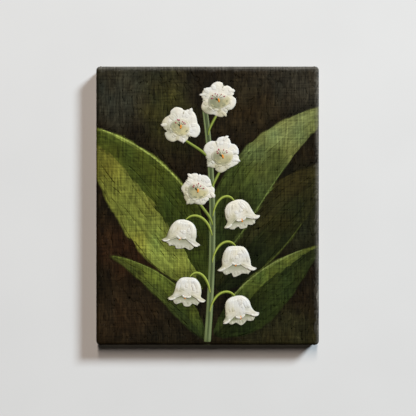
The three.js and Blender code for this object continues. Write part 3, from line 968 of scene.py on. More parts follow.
@dataclass
class Bell:
    """One white bell, painted thickly: dabs for its masses, then petal strokes and what its mouth holds.

    Its gape is how far a nodding bell's front hem is drawn up, which shows more of its mouth.
    """

    number: int
    at: Point
    pose: Pose
    turn: float = 0.0
    size: float = 1.0
    lean: float = 0.0
    gape: float = 1.0
    radius: float = 16.6
    lobes: int = 6

    @property
    def drawn_up(self) -> float:
        """How far the middle of a nodding bell's front hem stands above the far one's."""
        return 2.6 * self.gape

    def spot(self, local: Array) -> Array:
        """Puts the bell's own points, in millimetres about its middle, on the picture."""
        return turned(np.asarray(local, float) * self.size, self.turn) + np.array(self.at)

    def own(self, flat: Array) -> Array:
        """Takes points of the picture back to the bell's own millimetres."""
        return turned(flat - np.array(self.at), -self.turn) / self.size

    def bent(self, start: Array, end: Array, curl: Array | float) -> Array:
        """Controls for strokes between points of the bell, bowed sideways by curl."""
        step = end - start
        bow = left_of(step) * np.asarray(curl)[..., None]
        return self.spot(np.stack([start, start + step / 3 + bow, start + 2 * step / 3 + bow, end], axis=-2))

    def petal(self, local: Array, dim: Array | float = 0.0) -> Array:
        """A petal's tone: white up and to the right, cream and grey-green down and to the left.

        Args:
            local: points in the bell's own millimetres.
            dim: how much darker to make each.

        Returns:
            A colour for each point.
        """
        broad = 0.22 * cloud(local, (4.2, 4.2), 90 + self.number)
        fine = 0.06 * cloud(local, (1.3, 1.3), self.number)
        share = 0.20 - 0.018 * (local[..., 0] + 1.1 * local[..., 1]) + (broad + fine) + dim
        tone = ramp(PETAL_TONES, np.clip(share, 0.0, 1.0))
        warm = 0.05 * cloud(local, (5.0, 5.0), 70 + self.number)
        return tone * (1.0 + warm[..., None] * np.array([0.6, 0.0, -1.6]))

    def dab(
        self, work: Brushwork, outline: Array, tone: Callable[[Array], Array], lift: float, thick: float
    ) -> None:
        """Adds a dab to the bell, all of it given in the bell's own millimetres.

        Args:
            work: the brushwork it goes into.
            outline: points that its smooth edge runs through, anticlockwise.
            tone: gives the colour at points.
            lift: how far its border stands above the cloth.
            thick: how far its middle rises above that.
        """
        edge = closed_curve(outline, 6)
        middle = self.spot(edge.mean(axis=0)[None])[0]
        work.dab(middle, self.spot(edge), lambda flat: tone(self.own(flat)), lift, thick)

    def paint(self, face: Face) -> Brushwork:
        """Paints the bell.

        Args:
            face: the cloth it is on.

        Returns:
            The brushwork, ready to build.
        """
        work = Brushwork(f"painted_bell_{self.number}", face, 300 + self.number, 0.30)
        if self.pose is Pose.OPEN:
            self.paint_open(work)
        else:
            self.paint_nodding(work)
        return work

    def paint_open(self, work: Brushwork) -> None:
        """Paints it open: a lobed white mass, broad soft petal strokes, flicked tips and the throat."""
        random = work.random
        turns = np.arange(self.lobes) + random.uniform(-0.16, 0.16, self.lobes)
        bearing = turns * 2.0 * math.pi / self.lobes + 0.5 * self.number
        reach = self.radius * random.uniform(0.90, 1.08, self.lobes)
        shoulder, notch = math.pi / self.lobes * 0.6, math.pi / self.lobes
        angle = (bearing[:, None] + np.array([-shoulder, 0.0, shoulder, notch])).ravel()
        out = (reach[:, None] * np.array([0.95, 1.02, 0.95, 0.84])).ravel()
        out = out * random.uniform(0.96, 1.04, len(out))
        outline = np.stack([np.cos(angle), np.sin(angle)], -1) * out[:, None]
        self.dab(work, outline, self.petal, 0.25, 0.35)
        count = 16
        angle = np.linspace(0.0, 2.0 * math.pi, count, endpoint=False) + random.uniform(-0.15, 0.15, count)
        ray = np.stack([np.cos(angle), np.sin(angle)], -1)
        start = ray * random.uniform(6.0, 9.0, count)[:, None]
        end = ray * (self.radius * random.uniform(0.70, 0.88, count))[:, None]
        tone = self.petal(end, random.normal(-0.02, 0.10, count))
        half = random.uniform(2.2, 3.4, count)
        swept = self.bent(start, end, random.normal(0, 0.15, count))
        work.strokes(swept, half, tone, 0.52, 0.06, ragged=0.4, jitter=0.02)
        gap = bearing[::2] + notch
        ray = np.stack([np.cos(gap), np.sin(gap)], -1)
        crease = self.bent(ray * 10.0, ray * self.radius * 0.82, 0.05)
        work.strokes(crease, 0.55, mixed(SHADE, GREY, 0.3), 0.60, 0.06, ragged=0.3, jitter=0.03)
        ray = np.stack([np.cos(bearing), np.sin(bearing)], -1)[::2]
        swing = left_of(ray) * random.uniform(-4.0, 4.0, (len(ray), 1))
        far = reach[::2, None]
        flick = self.bent(ray * far * 0.72, ray * far * 1.06 + swing, 0.15)
        half = random.uniform(1.5, 2.3, len(ray))
        work.strokes(flick, half, self.petal(ray * 12.0, -0.1), 0.55, 0.14, ragged=0.5, jitter=0.02)
        self.paint_throat(work)

    def paint_throat(self, work: Brushwork) -> None:
        """Paints an open bell's throat: a cup, grey on its left, with stamens and a pistil above."""
        random = work.random
        middle = np.array([0.3 + self.lean, -1.8])
        size = np.array([9.8, 7.8]) * random.uniform(0.92, 1.06, 2)
        around = np.linspace(0.0, 2.0 * math.pi, 12, endpoint=False)
        uneven = 1.0 + 0.07 * np.sin(3.0 * around + 2.0 * self.number)
        outline = middle + np.stack([np.cos(around), np.sin(around)], -1) * size * uneven[:, None]
        cream = random.uniform(-0.2, 0.3)

        def cup(local: Array) -> Array:
            """Grey to the left, cream to the right and below, and fading into the petals at its rim."""
            place = local - middle
            mottle = 0.40 * cloud(local, (2.6, 2.6), self.number)
            share = np.clip(0.42 + cream + 0.075 * place[:, 0] + mottle, 0.0, 1.0)
            above = 0.9 * ease(0.5, 6.0, place[:, 1] + 0.25 * place[:, 0])
            rim = 0.7 * ease(0.70, 1.0, np.linalg.norm(place / size, axis=-1))
            inside = mixed(THROAT_SHADE, THROAT, share)
            return mixed(inside, self.petal(local, 0.1), np.maximum(above, rim))

        self.dab(work, outline, cup, 0.62, 0.06)
        for start in np.array([-2.9, -2.2, -1.4, -0.7]) + random.uniform(-0.2, 0.2, 4):
            arc = start + np.array([0.0, 0.2, 0.4, 0.6])
            path = middle + np.stack([0.72 * size[0] * np.cos(arc), 0.70 * size[1] * np.sin(arc)], -1)
            tone = mixed(THROAT_SHADE, THROAT, random.uniform(0.0, 0.8))
            half = random.uniform(0.9, 1.6)
            work.strokes(self.spot(path)[None], half, tone, 0.66, 0.05, ragged=0.3, jitter=0.03)
        for start in np.linspace(-2.8, -0.6, 4) + random.uniform(-0.15, 0.15, 4):
            arc = start + np.array([0.0, 0.15, 0.3, 0.45])
            path = middle + np.stack([1.05 * size[0] * np.cos(arc), 1.05 * size[1] * np.sin(arc)], -1)
            tone = self.petal(path[1:2])
            half = random.uniform(1.0, 1.6)
            work.strokes(self.spot(path)[None], half, tone, 0.66, 0.08, ragged=0.3, jitter=0.02)
        root = middle + np.array([-0.4, 2.0])
        core = self.bent(root[None] + (-2.2, 1.0), root[None] + (0.9, -1.3), -0.15)
        work.strokes(core, 1.25, LEAF_DARK, 0.80, 0.10)
        bearing = np.linspace(0.35, 2.8, 6) + random.uniform(-0.2, 0.2, 6)
        ray = np.stack([1.15 * np.cos(bearing), np.sin(bearing)], -1)
        far = random.uniform(2.6, 4.6, 6)[:, None]
        stalks = self.bent(root + ray * 1.0, root + ray * far, 0.08)
        work.strokes(stalks, 0.40, mixed(GREY, LEAF_DARK, 0.5), 0.85, 0.1, lanes=4, ragged=0.1)
        tips = self.bent(root + ray * far, root + ray * (far + random.uniform(1.2, 2.0, (6, 1))), 0.1)
        tone = mixed(STAMEN, STAMEN_BROWN, random.uniform(0.0, 0.6, 6))
        work.strokes(tips, random.uniform(0.7, 1.1, 6), tone, 0.95, 0.2, lanes=4, ragged=0.3)
        pistil = self.bent(root[None] + (0.0, 0.6), root[None] + (random.uniform(0.2, 2.0), -3.6), 0.1)
        work.strokes(pistil, 1.15, PISTIL, 1.0, 0.25, ragged=0.4, jitter=0.12)

    def paint_nodding(self, work: Brushwork) -> None:
        """Paints it nodding: the far hem and the shaded mouth, then the domed front with its curled hem."""
        random = work.random
        lean = self.lean
        hem = [(-11.6, -5.0), (-12.8, -9.4), (-9.0, -11.6), (-5.2, -10.4), (-2.2, -13.4), (2.4, -13.2)]
        hem += [(5.0, -10.6), (9.4, -12.0), (12.6, -9.2), (11.6, -5.0), (5.0, -1.0), (-5.0, -1.0)]
        outline = np.array(hem) + random.uniform(-0.8, 0.8, (len(hem), 2)) + np.array([0.35 * lean, 0.0])

        def mouth(local: Array) -> Array:
            """Grey-green under the front, paling to a cream hem."""
            height = local[:, 1] + 1.2 * cloud(local, (2.4, 2.4), self.number)
            share = ease(-6.2 + self.drawn_up, -12.0, height)
            return mixed(mixed(MOUTH, GREY, np.minimum(2.0 * share, 1.0)), CREAM, 0.8 * share)

        self.dab(work, outline, mouth, 0.25, 0.12)
        across = np.array([-9.0, -5.6, -1.6, 1.8, 5.8, 9.4]) + random.uniform(-0.4, 0.4, 6)
        start = np.stack([0.92 * across + lean * 0.5, np.full(6, -8.6)], -1)
        end = np.stack([1.02 * across + lean * 0.5, -11.4 - 1.1 * np.cos(0.55 * across)], -1)
        half = random.uniform(1.1, 1.8, 6)
        tone = mixed(GREY, CREAM, random.uniform(0.3, 0.9, 6))
        drawn = self.bent(start, end, random.normal(0, 0.1, 6))
        work.strokes(drawn, half, tone, 0.34, 0.08, ragged=0.4, jitter=0.03)
        top = np.array([[lean - 0.9, -4.8 + self.drawn_up]])
        pistil = self.bent(top, top + (random.uniform(-0.6, 1.6), -4.4), 0.1)
        work.strokes(pistil, 1.15, PISTIL, 0.6, 0.25, ragged=0.3, jitter=0.12)
        front = [(0.0, 13.0), (6.8, 11.6), (11.0, 6.6), (12.6, 0.4), (13.4, -4.4), (17.2, -7.0)]
        front += [(13.4, -8.8), (9.4, -6.8), (6.0, -4.4), (3.2, -6.6), (0.0, -7.6), (-3.4, -6.4)]
        front += [(-6.0, -4.2), (-9.6, -7.0), (-13.4, -9.2), (-17.0, -8.0), (-13.4, -4.4)]
        front += [(-12.4, 0.6), (-10.6, 6.8), (-6.6, 11.6)]
        outline = np.array(front) + random.uniform(-0.5, 0.5, (len(front), 2))
        outline += np.array([0.5 * lean, 0.0]) * (outline[:, 1:] < 0.0)
        hem_middle = (np.abs(outline[:, :1]) < 9.0) & (outline[:, 1:] < 0.0)
        outline += np.array([0.0, self.drawn_up]) * hem_middle

        def dome(local: Array) -> Array:
            """White, turning greyer towards both sides, with soft seams rising from the hem's notches."""
            side = 0.28 * ease(6.0, 13.0, np.abs(local[:, 0] + 1.2)) * (local[:, 1] > -6.0)
            rise = ease(-6.0, -3.0, local[:, 1]) * (1.0 - ease(-1.0, 8.0, local[:, 1]))
            off_seam = np.abs(local[:, 0] - 0.4 * lean) - 5.6 + 0.12 * local[:, 1]
            seam = 0.40 * np.exp(-((off_seam / 1.2) ** 2))
            return self.petal(local, side + seam * rise - 0.04)

        # The front's points run clockwise, so they are taken the other way round.
        self.dab(work, outline[::-1], dome, 0.45, 0.45)
        count = 9
        b = np.linspace(-0.86, 0.86, count) + random.uniform(-0.08, 0.08, count)
        foot = -1.4 - 2.6 * b**2 + random.uniform(-1.0, 2.0, count)
        crown = np.stack([4.0 * b, 10.6 + 0 * b], -1)
        hip = np.stack([9.2 * b, 9.0 - b**2], -1)
        waist = np.stack([11.0 * b, 3.4 + 0 * b], -1)
        controls = self.spot(np.stack([crown, hip, waist, np.stack([11.2 * b, foot], -1)], axis=-2))
        rows = 10
        path = bezier(controls, np.linspace(0.0, 1.0, rows)).reshape(-1, 2)
        tones = dome(self.own(path)).reshape(count, rows, 3) * random.uniform(0.95, 1.03, (count, 1, 1))
        half = random.uniform(1.8, 2.8, count)
        work.strokes(controls, half, tones, 0.82, 0.06, rows, ragged=0.4, jitter=0.02)
        self.paint_lips(work)

    def paint_lips(self, work: Brushwork) -> None:
        """Paints a nodding bell's curled lips, its flicked tips and the lights on its dome."""
        random = work.random
        shift = np.array([0.5 * self.lean, 0.0])
        up = self.drawn_up
        start = np.array([(-9.0, -5.4), (9.0, -5.2), (-4.6, -5.0 + up), (4.4, -5.2 + up)])
        end = np.array([(-16.4, -8.0), (16.6, -7.2), (0.2, -7.0 + up), (-0.2, -7.2 + up)])
        curl = np.array([0.25, -0.25, -0.2, 0.2])
        start = start + shift + random.uniform(-0.4, 0.4, (4, 2))
        end = end + shift + random.uniform(-0.7, 0.7, (4, 2))
        half = random.uniform(0.9, 1.4, 4)
        tone = mixed(WHITE, CREAM, 0.15)
        work.strokes(self.bent(start, end, curl), half, tone, 0.85, 0.18, ragged=0.4, jitter=0.02)
        place = np.stack([random.uniform(-3.0, 6.5, 3), random.uniform(4.0, 9.0, 3)], -1)
        reach = np.stack([0.15 * place[:, 0], random.uniform(-5.0, -3.0, 3)], -1)
        half = random.uniform(1.8, 2.6, 3)
        work.strokes(self.bent(place, place + reach, 0.05), half, WHITE, 0.90, 0.06, ragged=0.3, jitter=0.015)


# ---- The painted picture ----


@dataclass
class Picture:
    """Everything painted on the cloth: ground, leaves, stem and bells."""

    face: Face
    plan: Plan
    bells: tuple[Bell, ...]
    stem: tuple[Point, ...] = ((-1.0, -134.0), (4.5, -64.0), (8.5, 10.0), (-3.0, 92.0))
    stem_half: float = 3.9

    def build(self) -> None:
        """Paints each piece in the order it goes on the cloth."""
        thin, thick = THIN_OIL.build(), THICK_OIL.build()
        self.ground().build(thin)
        for number, leaf in enumerate(self.plan.leaves):
            self.leaf(leaf, number).build(thin)
        self.stalks().build(thick)
        for bell in self.bells:
            bell.paint(self.face).build(thick)

    def brushed(self, flat: Array, heading: Array, length: Array, bend: Array) -> Array:
        """Controls for strokes through points: straight ones, bowed sideways by a share of their length."""
        ahead = np.stack([np.cos(heading), np.sin(heading)], -1) * (length / 2.0)[:, None]
        bow = left_of(ahead) * bend[:, None]
        return np.stack([flat - ahead, flat - ahead / 3 + bow, flat + ahead / 3 + bow, flat + ahead], axis=-2)

    def ground(self) -> Brushwork:
        """Scrubs the ground on with short, mostly upright strokes where no leaf will be."""
        work = Brushwork("painted_ground", self.face, 11)
        random = work.random
        reach = np.array([self.face.half_u + 4.0, self.face.half_v + 4.0])
        flat = random.uniform(-1.0, 1.0, (4400, 2)) * reach
        keep = self.face.takes(flat) & (self.plan.laid(flat)[1] < 0.3)
        flat = flat[keep]
        count = len(flat)
        heading = math.pi / 2.0 + random.normal(0.0, 0.35, count) + 0.5 * cloud(flat, (30.0, 30.0), 9)
        length, bend = random.uniform(6.0, 15.0, count), random.normal(0.0, 0.12, count)
        controls = self.kept_on(self.brushed(flat, heading, length, bend))
        rows = 6
        path = bezier(controls, np.linspace(0.0, 1.0, rows)).reshape(-1, 2)
        clear = self.plan.laid(path)[1].reshape(-1, rows).max(axis=1) < 0.4
        controls = controls[clear]
        count = len(controls)
        colour = self.tones_along(controls, rows) * random.uniform(0.74, 1.30, (count, 1, 1))
        half, lift = random.uniform(1.2, 2.6, count), random.uniform(0.008, 0.02, count)
        work.strokes(controls, half, colour, lift, 0.01, rows, ragged=0.5, jitter=0.12, sink=0.005)
        log.info("ground strokes: %d", count)
        return work

    def tones_along(self, controls: Array, rows: int = 8) -> Array:
        """The plan's colours at each row of strokes, shaped (strokes, rows, 3)."""
        path = bezier(controls, np.linspace(0.0, 1.0, rows))
        return self.plan.colour(path.reshape(-1, 2)).reshape(len(controls), rows, 3)

    def kept_on(self, controls: Array) -> Array:
        """Keeps control points off the rounded corners by holding the shorter way in."""
        limit = np.array([self.face.half_u, self.face.half_v]) - self.face.edge
        over = np.abs(controls) - limit
        hold = (over > -1.0).all(axis=-1, keepdims=True) & (over == over.min(axis=-1, keepdims=True))
        return np.where(hold, np.sign(controls) * (limit - 1.0), controls)

    def leaf(self, leaf: Leaf, number: int) -> Brushwork:
        """Brushes a leaf along its length, then its lit rim with long thin strokes."""
        work = Brushwork(f"painted_{leaf.name}", self.face, 40 + number)
        random = work.random
        t = random.uniform(0.02, 0.98, leaf.strokes * 3)
        share = random.uniform(-0.95, 0.95, len(t))
        keep = self.face.takes(leaf.spot(t, share))
        t, share = t[keep][: leaf.strokes], share[keep][: leaf.strokes]
        count = len(t)
        reach = random.uniform(0.035, 0.085, count)
        drift = random.normal(0.0, 0.03, count)
        steps = np.array([-1.0, -1.0 / 3.0, 1.0 / 3.0, 1.0])
        along = np.clip(t[:, None] + reach[:, None] * steps, 0.0, 1.0)
        aside = np.clip(share[:, None] + drift[:, None] * steps, -0.94, 0.94)
        controls = self.kept_on(leaf.spot(along.ravel(), aside.ravel()).reshape(count, 4, 2))
        room = ((1.0 - np.abs(aside)) * leaf.width(along, aside > 0)).min(axis=1)
        half = np.minimum(random.uniform(1.0, 2.8, count), 0.3 + room)
        colour = self.tones_along(controls) * random.uniform(0.82, 1.20, (count, 1, 1))
        lift = random.uniform(0.010, 0.025, count)
        work.strokes(controls, half, colour, lift, 0.01, ragged=0.3, jitter=0.08, sink=0.005)
        low, high = leaf.rim_span
        starts = np.arange(low, high, 0.05)
        starts = starts + random.uniform(-0.01, 0.01, len(starts))
        side = 1.0 if leaf.rim_on_left else -1.0
        steps = starts[:, None] + np.array([0.0, 0.03, 0.06, 0.09])
        path = leaf.spot(steps.ravel(), np.full(steps.size, side * 0.96)).reshape(-1, 4, 2)
        good = self.face.takes(path.reshape(-1, 2)).reshape(-1, 4).all(axis=1)
        path = path[good]
        fade = np.sin(math.pi * np.clip((starts[good] - low) / (high - low), 0.0, 1.0)) ** 0.5
        tone = mixed(self.plan.colour(path[:, 1]), linear(leaf.rim), 0.35 + 0.5 * fade)
        work.strokes(path, 0.45 * leaf.rim_width, tone, 0.06, 0.03, ragged=0.3, sink=0.01)
        return work

    def stem_at(self, height: Array) -> Array:
        """The stem's points at heights up the picture."""
        path = bezier(np.array(self.stem, float), np.linspace(0.0, 1.0, 200))
        return np.stack([np.interp(height, path[:, 1], path[:, 0]), np.asarray(height, float)], axis=-1)

    def stalks(self) -> Brushwork:
        """Paints the stem in four long strokes, the widest and darkest first, and a stalk to each bell."""
        work = Brushwork("painted_stem", self.face, 77)
        spine = np.array(self.stem, float)
        rows = 60
        t = np.linspace(0.0, 1.0, rows)
        shape = 1.0 - 0.42 * t
        bands = (
            ("#3f4a2c", 0.0, 1.0),
            ("#69754a", -0.46, 0.42),
            ("#76825a", 0.44, 0.36),
            ("#4d5938", 0.0, 0.26),
        )
        for step, (tone, shift, share) in enumerate(bands):
            drift = 1.0 + 0.18 * cloud(np.stack([t * 120.0, 0 * t + step * 9], -1), (7.0, 7.0), 21 + step)
            colour = (linear(tone) * drift[:, None])[None]
            moved = spine + np.array([shift * self.stem_half, 0.0])
            half = share * self.stem_half
            work.strokes(moved[None], half, colour, 0.10 + 0.05 * step, 0.10, rows, ragged=1.0, shape=shape)
        for bell in self.bells:
            path = self.stalk(bell)
            base = ("#5c6a2c", "#8a9843") if bell.pose is Pose.OPEN else ("#66742d", "#9fac4c")
            for tone, half, shift, lift in ((base[0], 1.5, 0.0, 0.26), (base[1], 0.95, 0.35, 0.34)):
                nudge = np.array([shift, shift])
                work.strokes(path[None] + nudge, half, linear(tone), lift, 0.16, 18, ragged=0.4)
        return work

    def stalk(self, bell: Bell) -> Array:
        """A bell's stalk: out of the stem, up and over to a nodding bell, or up behind an open one."""
        x, y = bell.at
        if bell.pose is Pose.OPEN:
            crown = bell.spot(np.array([[0.0, -9.0]]))[0]
            root = self.stem_at(np.array([y - 34.0]))[0]
            return np.array([root, root + (0.0, 9.0), crown - (0.25 * (crown[0] - root[0]), 8.0), crown])
        crown = bell.spot(np.array([[0.0, 11.5]]))[0]
        root = self.stem_at(np.array([y - 4.0]))[0]
        rise = root + (0.10 * (crown[0] - root[0]), 21.0)
        return np.array([root, rise, crown + (-0.25 * (crown[0] - root[0]), 10.0), crown])


# ---- The cloth ----


@dataclass
class StretchedCloth:
    """The cloth: one closed shell, tight over the front and sides and turned over the bars' backs."""

    face: Face
    plan: Plan
    step: float = 1.0
    turns: int = 6
    relief: float = 0.01
    fray: float = 0.5

    def ring(self, inset: Array, base: Array, outward: Array) -> Array:
        """Rounded rectangles set in from the picture's outline, one for each inset.

        Each point is a corner of the smaller rectangle, or a place along its side, moved outwards by
        the corner's radius, which shrinks with the inset.

        Args:
            inset: how far in each lies.
            base: the loop on the front grid's border.
            outward: the unit directions out of the loop.

        Returns:
            Points in x and z, shaped (insets, loop, 2).
        """
        face = self.face
        half = np.array([face.half_u, face.half_v])
        radius = np.maximum(face.corner - inset, 0.2)[:, None, None]
        scale = (half - inset[:, None, None] - radius) / (half - face.corner)
        return base * scale + outward * radius

    def profile(self) -> tuple[Array, Array, Array, Array]:
        """The cloth's section from the front grid's border round to the inner skin's border.

        Returns:
            Each ring's inset, its depth, its distance along the cloth beyond the grid's border, and
            whether it is on the inner skin.
        """
        face = self.face
        quarter = np.linspace(0.0, math.pi / 2.0, self.turns + 1)
        inner, bend = face.edge - face.cloth, face.hem - face.cloth
        down = np.arange(1.0, face.side / self.step) * self.step
        along = np.linspace(face.hem, face.margin, 20)[1:]
        deep = face.depth - face.hem
        outer = [
            (face.edge * (1 - np.sin(quarter)), face.edge * (1 - np.cos(quarter))),
            (0 * down, face.edge + down),
            (face.hem * (1 - np.cos(quarter)), deep + face.hem * np.sin(quarter)),
            (along, 0 * along + face.depth),
        ]
        back = face.depth - face.cloth
        inside = [
            (along[::-1], 0 * along + back),
            (face.cloth + bend * (1 - np.cos(quarter[::-1])), deep + bend * np.sin(quarter[::-1])),
            (
                face.cloth + inner * (1 - np.sin(quarter[::-1])),
                face.cloth + inner * (1 - np.cos(quarter[::-1])),
            ),
        ]
        inset = np.concatenate([part[0] for part in outer + inside])
        depth = np.concatenate([part[1] for part in outer + inside])
        steps = np.hypot(np.diff(inset), np.diff(depth))
        turning = np.cumsum(np.concatenate([[face.corner - inset[0]], steps]))
        count = sum(len(part[0]) for part in outer)
        return inset, depth, turning, np.arange(len(inset)) >= count

    def border(self, columns: int, rows: int) -> tuple[Array, Array]:
        """The front grid's border, anticlockwise from the front, with each corner repeated to turn on.

        Args:
            columns: the grid's points along u.
            rows: its points along v.

        Returns:
            Grid point numbers, and the outward direction at each.
        """
        numbers = np.arange(columns * rows).reshape(columns, rows)
        sides = (numbers[:, 0], numbers[-1, :], numbers[::-1, -1], numbers[0, ::-1])
        loop, heading = [], []
        for side, angle in zip(sides, (270.0, 360.0, 450.0, 540.0)):
            corner = np.linspace(angle - 90.0, angle, self.turns, endpoint=False)
            loop += [np.full(self.turns, side[0]), side[:-1]]
            heading += [corner, np.full(len(side) - 1, angle)]
        turn = np.radians(np.concatenate(heading))
        return np.concatenate(loop), np.stack([np.cos(turn), np.sin(turn)], -1)

    def build(self) -> bpy.types.Object:
        face = self.face
        inner_u, inner_v = face.half_u - face.corner, face.half_v - face.corner
        columns, rows = round(2 * inner_u / self.step) + 1, round(2 * inner_v / self.step) + 1
        ticks = np.linspace(-inner_u, inner_u, columns), np.linspace(-inner_v, inner_v, rows)
        grid = np.meshgrid(*ticks, indexing="ij")
        flat = np.stack(grid, -1).reshape(-1, 2)
        rim = np.minimum(inner_u - np.abs(flat[:, 0]), inner_v - np.abs(flat[:, 1]))
        relief = self.relief * cloud(flat, (1.7, 3.0), 31) * ease(0.0, 3.0, rim)
        front = face.place(flat, relief)
        loop, outward = self.border(columns, rows)
        inset, depth, turning, inner = self.profile()
        ragged = self.fray * cloud(flat[loop], (2.2, 2.2), 32)
        plan = self.ring(inset, flat[loop], outward)
        away = np.where(inner, depth - face.cloth, turning + inset - face.corner)
        spread = plan + outward[None] * away[:, None, None]
        plan -= outward * (ragged[None, :] * (inset > face.margin - 0.6)[:, None])[..., None]
        height = face.front + depth[:, None] + np.zeros(len(loop))
        shell = np.stack([plan[..., 0], height, face.centre_z + plan[..., 1]], -1).reshape(-1, 3)
        outer = turning <= face.round_front + face.side + 1.0
        edge_wander = 1.6 + 1.1 * cloud(spread.reshape(-1, 2), (9.0, 9.0), 33)
        over = turning[:, None] - face.round_front - face.side - edge_wander.reshape(spread.shape[:2])
        bare = ease(-1.0, 0.6, over)
        skin = Skin("stretched_cloth")
        further = len(flat) + np.arange(len(inset) * len(loop)).reshape(len(inset), -1)
        numbers = np.concatenate([loop[None], further])
        closed = np.concatenate([numbers, numbers[:, :1]], axis=1)
        strips = closed.ravel()[grid_triangles(*closed.shape)]
        real = (strips != np.roll(strips, -1, axis=1)).all(axis=1)
        triangles = np.concatenate([grid_triangles(columns, rows), strips[real]])
        spots = np.concatenate([flat, spread.reshape(-1, 2)])
        colour = np.concatenate([self.plan.colour(flat), np.zeros((len(shell), 3))])
        painted = np.repeat(outer, len(loop))
        colour[len(flat) :][painted] = self.plan.colour(spread.reshape(-1, 2)[painted])
        primed = (1.0 - bare) * (depth <= face.depth)[:, None]
        covered = np.concatenate([np.ones(len(flat)), primed.ravel()])
        no_underside = np.zeros((0, 3), int)
        skin.add(np.concatenate([front, shell]), triangles, no_underside, colour, spots, spots, covered)
        piece = skin.build(DUCK.build(), CLOTH_SLOT, numbers[-1, ::-1])
        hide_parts("canvas")
        return piece


@dataclass
class CornerFolds:
    """The spare cloth folded flat at each corner, on the top and bottom sides and on behind.

    Each fold is a low mound. It starts narrow near the front edge, widens towards the back, and
    widens on at a slant over the margin, where it is raw cloth.
    """

    face: Face
    plan: Plan
    thick: float = 0.35
    lanes: int = 8
    narrow: float = 1.4
    wide: float = 5.0
    slant: float = 0.36

    def build(self) -> bpy.types.Object:
        """Makes the four folds as one piece."""
        face = self.face
        side_end = face.round_front + face.side
        back_start = side_end + face.hem * math.pi / 2.0
        end = back_start + face.margin - face.hem - 1.2
        start = 0.8 * face.round_front
        s = np.concatenate([np.linspace(start, back_start, 22), np.linspace(back_start, end, 16)[1:]])
        width = self.narrow + (self.wide - self.narrow) * ease(start, back_start, s)
        width = width + self.slant * np.maximum(s - back_start, 0.0)
        lane = np.linspace(0.0, 1.0, self.lanes)
        outer = face.half_u - face.corner - 0.1
        rows = len(s)
        skin = Skin("corner_folds")
        for side_u, side_v in ((1.0, 1.0), (-1.0, 1.0), (-1.0, -1.0), (1.0, -1.0)):
            share = lane if side_u * side_v > 0 else lane[::-1]
            u = side_u * (outer - width[:, None] * share)
            v = side_v * (face.half_v - face.edge + s[:, None] + 0.0 * share)
            flat = np.stack([u, v], axis=-1).reshape(-1, 2)
            rise = np.full((rows, self.lanes), self.thick) * (1.0 - 0.3 * share)
            rise[:, [0, -1]] = -SUNK
            rise[[0, -1], :] = -SUNK
            raw = ease(0.6, 2.2, s - side_end)
            covered = np.repeat(1.0 - raw, self.lanes)
            points = face.place(flat, rise.ravel())
            skin.add(
                points,
                grid_triangles(rows, self.lanes),
                base_triangles(rows, self.lanes),
                self.plan.colour(flat),
                flat,
                flat,
                covered,
            )
        return skin.build(DUCK.build(), CLOTH_SLOT)


# ---- The wood and metal ----


class Dressing:
    """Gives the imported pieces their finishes, and the bars and keys their eased corners."""

    bevels = {"bar": 0.5, "key": 0.25, "hanger": 0.12, "bumper": 0.25}

    def finish_for(self, name: str, made: dict[str, bpy.types.Material]) -> bpy.types.Material:
        """Picks a node's finish from its name."""
        if "staple" in name:
            return made["zinc"]
        if "hanger" in name:
            return made["brass"]
        if "bumper" in name:
            return made["rubber"]
        if name.endswith("key"):
            return made["beech"]
        return made["pine_across"] if name in ("top_bar", "bottom_bar") else made["pine_upright"]

    def build(self) -> None:
        """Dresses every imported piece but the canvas."""
        finishes = {
            "zinc": ZINC,
            "brass": BRASS,
            "rubber": RUBBER,
            "beech": BEECH,
            "pine_across": PINE_ACROSS,
            "pine_upright": PINE_UPRIGHT,
        }
        made = {key: finish.build() for key, finish in finishes.items()}
        for name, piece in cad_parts.items():
            if name == "canvas":
                continue
            piece.data.materials.clear()
            piece.data.materials.append(self.finish_for(name, made))
            sizes = [size for key, size in self.bevels.items() if key in name and "staple" not in name]
            if sizes:
                weld = piece.modifiers.new("joined", "WELD")
                weld.merge_threshold = 0.01 * MM
                bevel = piece.modifiers.new("eased", "BEVEL")
                bevel.width = sizes[0] * MM
                bevel.segments = 2
                bevel.limit_method = "ANGLE"
                bevel.angle_limit = math.radians(50.0)
            log.info("%s: dressed", name)


# ---- The room ----


